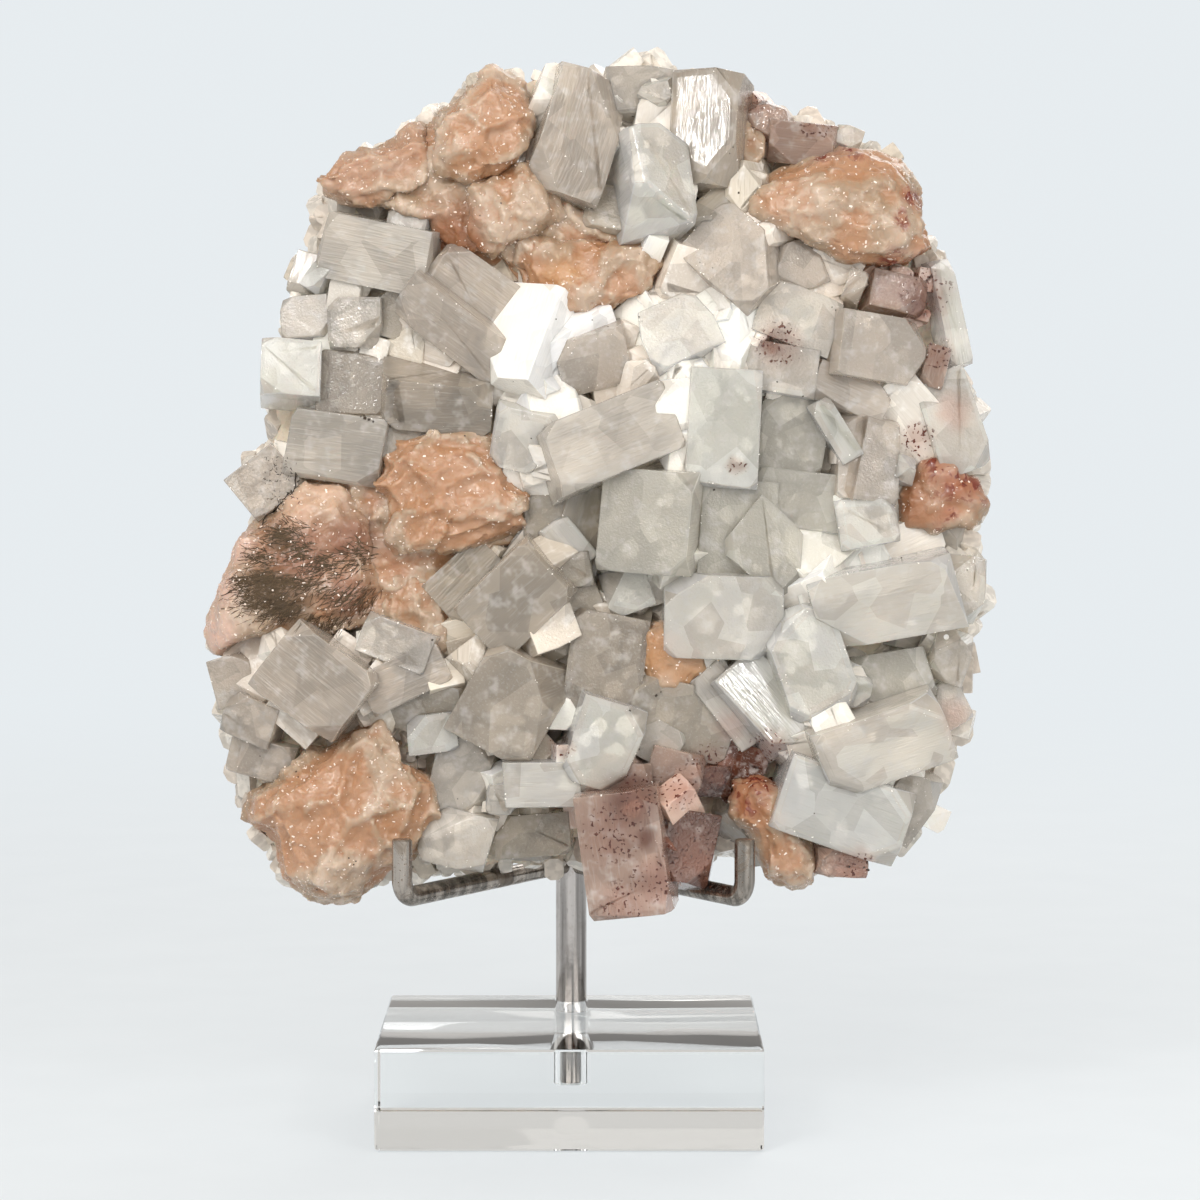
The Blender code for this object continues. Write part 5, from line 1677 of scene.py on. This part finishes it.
def sight_tree(objects):
    """Find the first surface along a sight line, over several meshes."""
    points = []
    faces = []
    for obj in objects:
        start = len(points)
        points.extend(vert.co / MM for vert in obj.data.vertices)
        faces.extend([start + index for index in polygon.vertices] for polygon in obj.data.polygons)
    return BVHTree.FromPolygons(points, faces)


def seen_at(tree, u, v):
    """The first surface point seen at (u, v), with its normal."""
    eye = AIM + NEAR * EYE
    aim = (place(u, v, 0.0) - eye).normalized()
    point, normal, _, _ = tree.ray_cast(eye, aim)
    return point, normal


def ribbon(pile, points, normals, width, tint):
    """A thin three sided strand along points that lie on a surface."""
    ring_points = []
    count = len(points)
    for index, (point, normal) in enumerate(zip(points, normals)):
        ahead = points[min(index + 1, count - 1)] - points[max(index - 1, 0)]
        side = normal.cross(ahead).normalized()
        reach = width * (0.35 + 0.65 * math.sin(math.pi * (index + 0.5) / count))
        ring_points += [point - side * reach, point + side * reach, point + normal * reach]
    faces = []
    for index in range(count - 1):
        near = index * 3
        far = near + 3
        for a, b in ((0, 1), (1, 2), (2, 0)):
            faces.append((near + a, near + b, far + b, far + a))
    faces.append((0, 2, 1))
    last = (count - 1) * 3
    faces.append((last, last + 1, last + 2))
    pile.add(ring_points, faces, tint)


def strand(pile, tree, rng, u, v, angle, length, width, tint):
    """A wandering strand that follows the surface from a place on the face."""
    points = []
    normals = []
    steps = max(3, int(length / 0.7))
    for _ in range(steps + 1):
        point, normal = seen_at(tree, u, v)
        if point is None or (points and (point - points[-1]).length > 2.2):
            break
        points.append(point + normal * 0.02)
        normals.append(normal)
        angle += rng.gauss(0.0, 0.22)
        u += math.cos(angle) * length / steps
        v += math.sin(angle) * length / steps
    if len(points) >= 3:
        ribbon(pile, points, normals, width, tint)


MOSS_HUB = (-48.0, -12.0)
MOSS_PATCHES = [
    (-84, -24, 7, 5, 190), (-79, -27, 5, 2.5, 110), (-80, -20, 8, 2.5, 120), (-79, -9, 4, 2, 45),
    (-84, -14, 4, 3, 40), (-74, -12, 4, 3, 40), (-70, -15, 6, 2, 35), (-66, -17, 8, 4, 50),
    (-63, -24, 7, 4, 50), (-68, -30, 8, 2, 55), (-59, -14, 3.5, 4, 35), (-58, -24, 3, 3, 30),
    (-88, -20, 3, 2, 25), (-73, -21, 5, 2, 40), (-76, -7, 4, 2, 20),
]
DENDRITE = [(-84.5, -6.5), (-83.5, -4), (-81, -2), (-79.5, 0), (-77.5, 1.2), (-76, 3.2),
            (-75.6, 6.5)]
SPECKS = [
    (28.5, 2.6, 0.42), (27, -0.8, 0.2), (26.4, -3.6, 0.16), (-42, -35, 0.45), (-33.8, 16, 0.3),
    (-17.2, 15.4, 0.28), (-21.7, 29.6, 0.22), (-2, 45, 0.25), (2, 43.3, 0.3), (-11, 45.2, 0.3),
    (9.8, 45.8, 0.3), (10.6, 44.6, 0.25), (9.8, 61.5, 0.2), (44.3, 29.5, 0.3), (58, 48.2, 0.3),
    (58.9, 47.4, 0.22), (50.8, 26, 0.35), (28.2, 58, 0.2), (25, 59.4, 0.25), (-24.7, 74.2, 0.3),
    (-30, 71.1, 0.25), (33.3, 88.2, 0.28), (32.4, 86.6, 0.24), (34.6, 76.8, 0.4), (19.9, 92, 0.22),
    (-2, 73, 0.35), (75.5, -14.5, 0.3), (-85, -64, 0.3), (-76, -68, 0.35), (-75.5, -69.3, 0.3),
    (-57.5, -69.3, 0.25), (-62.8, -89.5, 0.3), (-61, -90.3, 0.3), (-61.5, -91.2, 0.25),
    (-70.8, -97.4, 0.3), (-35.6, -74.7, 0.25), (53.6, -78.3, 0.25), (91.8, -17.5, 0.25),
    (9.8, -62.3, 0.3), (46.3, -65.3, 0.25), (-58.7, 20.6, 0.6), (-57.6, 20.2, 0.5),
    (-56.6, 19.6, 0.4), (8.2, 95.9, 0.4), (14, -48.9, 0.5), (15.2, -48, 0.3), (7.4, -52.6, 0.4),
    (67, -92.5, 0.5), (67.6, -94.4, 0.4), (62.4, -91.6, 0.4), (66, -91.8, 0.4), (-59.8, 20.9, 0.4),
]


def make_moss(tree):
    """Dark moss in streaks that point at the hub of the fan."""
    rng = random.Random(21)
    pile = Pile()
    for u, v, reach_u, reach_v, count in MOSS_PATCHES:
        for _ in range(count * 2):
            at_u = rng.gauss(u, reach_u * 0.5)
            at_v = rng.gauss(v, reach_v * 0.5)
            angle = math.atan2(at_v - MOSS_HUB[1], at_u - MOSS_HUB[0]) + rng.gauss(0.0, 0.3)
            shade = rng.uniform(0.5, 1.4)
            tint = (0.085 * shade, 0.052 * shade, 0.026 * shade)
            strand(pile, tree, rng, at_u, at_v, angle, rng.uniform(1.2, 4.5),
                   rng.uniform(0.05, 0.12), tint)
    return pile.build("moss_strands")


def make_dendrite(tree):
    """The black branching line beside the fan, and the fine dots round it."""
    rng = random.Random(31)
    pile = Pile()
    tint = (0.03, 0.022, 0.015)
    for (u0, v0), (u1, v1) in zip(DENDRITE, DENDRITE[1:]):
        angle = math.atan2(v1 - v0, u1 - u0)
        length = math.hypot(u1 - u0, v1 - v0)
        strand(pile, tree, rng, u0, v0, angle, length * 1.15, 0.2, tint)
        for _ in range(5):
            share = rng.random()
            strand(pile, tree, rng, u0 + (u1 - u0) * share, v0 + (v1 - v0) * share,
                   angle + rng.choice((-1, 1)) * rng.uniform(0.6, 1.3), rng.uniform(0.6, 1.6),
                   rng.uniform(0.06, 0.12), tint)
    for _ in range(70):
        u = rng.uniform(-84.0, -75.5)
        v = rng.uniform(-1.0, 11.0)
        strand(pile, tree, rng, u, v, rng.uniform(0.0, 6.28), rng.uniform(0.3, 0.8),
               rng.uniform(0.05, 0.11), tint)
    return pile.build("dendrite")


def make_specks(tree):
    """Single dark grains caught between the crystals."""
    rng = random.Random(41)
    pile = Pile()
    grain = block_template(CAP, 1.3, 1.0, 0.8, 0.25)
    for u, v, size in SPECKS:
        point, normal = seen_at(tree, u, v)
        if point is None:
            continue
        rotation = turned_to(normal, rng, 0.3)
        tint = (0.03, 0.02, 0.014)
        pile.add([point + normal * size * 0.3 + rotation @ (corner * size) for corner in grain[0]],
                 grain[1], tint)
    return pile.build("dark_specks")


def tinted_material(name, rough):
    g = Graph(name)
    shade = g.noise(g.point, 900.0, 2.0)
    g.shade({
        "Base Color": g.mix(
            g.ramp(shade, 0.35, 0.7, 0.0, 0.3), g.colour("tint"), rgb(0.12, 0.09, 0.05)),
        "Roughness": g.ramp(shade, 0.3, 0.7, rough, rough + 0.25)})
    return g.material


# Stage, light and camera

SKY = rgb(0.800, 0.842, 0.868)
ROOM = {"From Min": -0.97, "From Max": -0.72, "To Min": 0.20, "To Max": 0.64}


def make_floor():
    """A wide pale disc that fades into the sky's own colour far from the stand."""
    bm = bmesh.new()
    bmesh.ops.create_circle(bm, cap_ends=True, segments=96, radius=6000.0)
    bmesh.ops.translate(bm, vec=(0.0, 0.0, -GAP), verts=bm.verts)
    floor = mesh_object("floor", bm)
    g = Graph("floor")
    spread = g.node("VectorMath", {0: g.point}, "Value", operation="LENGTH")
    grain = g.noise(g.point, 30.0, 3.0)
    g.shade({
        "Base Color": g.mix(g.ramp(grain, 0.3, 0.7), rgb(0.74, 0.77, 0.79), rgb(0.77, 0.80, 0.82)),
        "Roughness": 0.55})
    glow = g.node("Emission", {"Color": SKY, "Strength": 1.0})
    blend = g.node("MixShader", {
        0: g.ramp(spread, 0.2, 1.2, 0.6, 1.0), 1: g.shader.outputs[0], 2: glow})
    g.tree.links.new(blend, g.tree.nodes["Material Output"].inputs["Surface"])
    floor.data.materials.append(g.material)
    return floor


def make_world():
    world = bpy.data.worlds.new("studio")
    bpy.context.scene.world = world
    world.use_nodes = True
    sky = world.node_tree.nodes["Background"]
    sky.inputs["Color"].default_value = SKY
    sky.inputs["Strength"].default_value = 1.0
    dim = world.node_tree.nodes.new("ShaderNodeBackground")
    dim.inputs["Color"].default_value = rgb(1.0, 0.965, 0.92)
    links = world.node_tree.links
    way = world.node_tree.nodes.new("ShaderNodeTexCoord")
    parts = world.node_tree.nodes.new("ShaderNodeSeparateXYZ")
    room = world.node_tree.nodes.new("ShaderNodeMapRange")
    room.interpolation_type = "SMOOTHSTEP"
    for name, value in ROOM.items():
        room.inputs[name].default_value = value
    links.new(way.outputs["Generated"], parts.inputs[0])
    links.new(parts.outputs["Y"], room.inputs["Value"])
    links.new(room.outputs[0], dim.inputs["Strength"])
    path = world.node_tree.nodes.new("ShaderNodeLightPath")
    mix = world.node_tree.nodes.new("ShaderNodeMixShader")
    links.new(path.outputs["Is Camera Ray"], mix.inputs[0])
    links.new(dim.outputs[0], mix.inputs[1])
    links.new(sky.outputs[0], mix.inputs[2])
    links.new(mix.outputs[0], world.node_tree.nodes["World Output"].inputs["Surface"])


def add_light(name, position, aim, width, height, power, colour=(1.0, 1.0, 1.0)):
    data = bpy.data.lights.new(name, "AREA")
    data.shape = "RECTANGLE"
    data.size = width
    data.size_y = height
    data.energy = power
    data.color = colour
    light = bpy.data.objects.new(name, data)
    bpy.context.scene.collection.objects.link(light)
    light.location = position
    way = Vector(aim) - Vector(position)
    light.rotation_euler = way.to_track_quat("-Z", "Y").to_euler()


def make_lights():
    middle = (0.0, 0.0, 0.16)
    add_light("key", (-0.45, -1.15, 0.85), middle, 1.3, 1.3, 13.4, (1.0, 0.955, 0.90))
    add_light("fill", (0.85, -1.05, 0.35), middle, 0.9, 0.9, 4.5, (1.0, 0.97, 0.93))
    add_light("rim", (0.5, 1.1, 0.9), middle, 0.8, 0.8, 5.0)
    add_light("left_glint", (-0.45, -0.9, 0.75), middle, 0.12, 0.12, 2.2)
    add_light("right_glint", (0.55, -0.85, 0.65), middle, 0.10, 0.10, 1.8)


def make_camera():
    data = bpy.data.cameras.new("camera")
    data.lens = LENS
    data.sensor_width = SENSOR
    data.sensor_fit = "HORIZONTAL"
    data.clip_start = 0.05
    data.clip_end = 50.0
    camera = bpy.data.objects.new("camera", data)
    bpy.context.scene.collection.objects.link(camera)
    camera.location = (AIM + NEAR * EYE) * MM
    camera.rotation_euler = (math.pi / 2 - LEAN, 0.0, 0.0)
    bpy.context.scene.camera = camera


def finish_piece(obj, material, slot, *nodes):
    obj.data.materials.clear()
    obj.data.materials.append(material)
    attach(obj, "root")
    if nodes:
        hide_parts(*nodes)


def main():
    make_camera()
    make_world()
    make_lights()
    make_floor()
    rows = crystal_rows()
    cutters = seat_cutters()
    crystals = grow_crystals(rows, cutters)
    forms = {**BEDS, **MASSES}
    masses = {name: make_mass(name, *form) for name, form in forms.items()}
    plate = make_plate()
    for obj in (plate, *masses.values()):
        clear_of_stand(obj, cutters)
    fronts = sight_tree([*crystals, *masses.values()])
    outline = inside_outline(sight_tree([*crystals, plate, *masses.values()]))
    growths = side_growths(rows, fronts, outline, cutters)
    fill = gap_fill(rows, fronts, outline, cutters)
    for cutter in cutters:
        discard(cutter)
    veils = inner_veils(rows)
    druse = scatter_druse(plate, fronts)
    sugar = scatter_sugar(list(masses.values()))
    crumbs = scatter_crumbs([*crystals, *growths, *fill])
    surface = sight_tree([*crystals, *growths, *fill, plate, *masses.values()])
    moss = make_moss(surface)
    dendrite = make_dendrite(surface)
    specks = make_specks(surface)

    stilbite = stilbite_material()
    looks = (crystal_material("apophyllite", False, OUTER_LOOK),
             crystal_material("stained_apophyllite", True, OUTER_LOOK))
    inner = (crystal_material("inner_apophyllite", False, INNER_LOOK),
             crystal_material("stained_inner_apophyllite", True, INNER_LOOK))
    for obj, look in zip(crystals, looks):
        finish_piece(obj, look, "mineral", "crystal_cluster")
    for obj, look in zip(growths + fill, inner * 2):
        finish_piece(obj, look, "mineral")
    finish_piece(veils, veil_material(), "mineral")
    finish_piece(plate, plate_material(), "mineral", "crystal_cluster")
    for mass in masses.values():
        finish_piece(mass, stilbite, "mineral", "crystal_cluster")
    finish_piece(druse, small_crystal_material(), "mineral")
    finish_piece(sugar, sugar_material(), "mineral")
    finish_piece(crumbs, veil_material(), "mineral")
    finish_piece(moss, tinted_material("moss", 0.6), "mineral")
    finish_piece(dendrite, tinted_material("dendrite", 0.5), "mineral")
    finish_piece(specks, tinted_material("dark_grain", 0.4), "mineral")

    worn = steel_material(
        "worn_steel", rgb(0.38, 0.34, 0.30), rgb(0.12, 0.085, 0.055), 0.75, 0.2)
    bright = steel_material(
        "polished_steel", rgb(0.45, 0.42, 0.40), rgb(0.18, 0.15, 0.13), 0.2, 0.14)
    for name in HOOK_X:
        finish_piece(make_arm(name), worn, "arm_steel", name)
    finish_piece(make_post(), bright, "post_steel", "post")
    finish_piece(make_rest(), bright, "arm_steel", "back_rest")
    finish_piece(make_base(), acrylic_material(), "clear_block", "base")
    view = bpy.context.scene.view_settings
    view.view_transform = "Standard"


main()
bpy.context.view_layer.update()
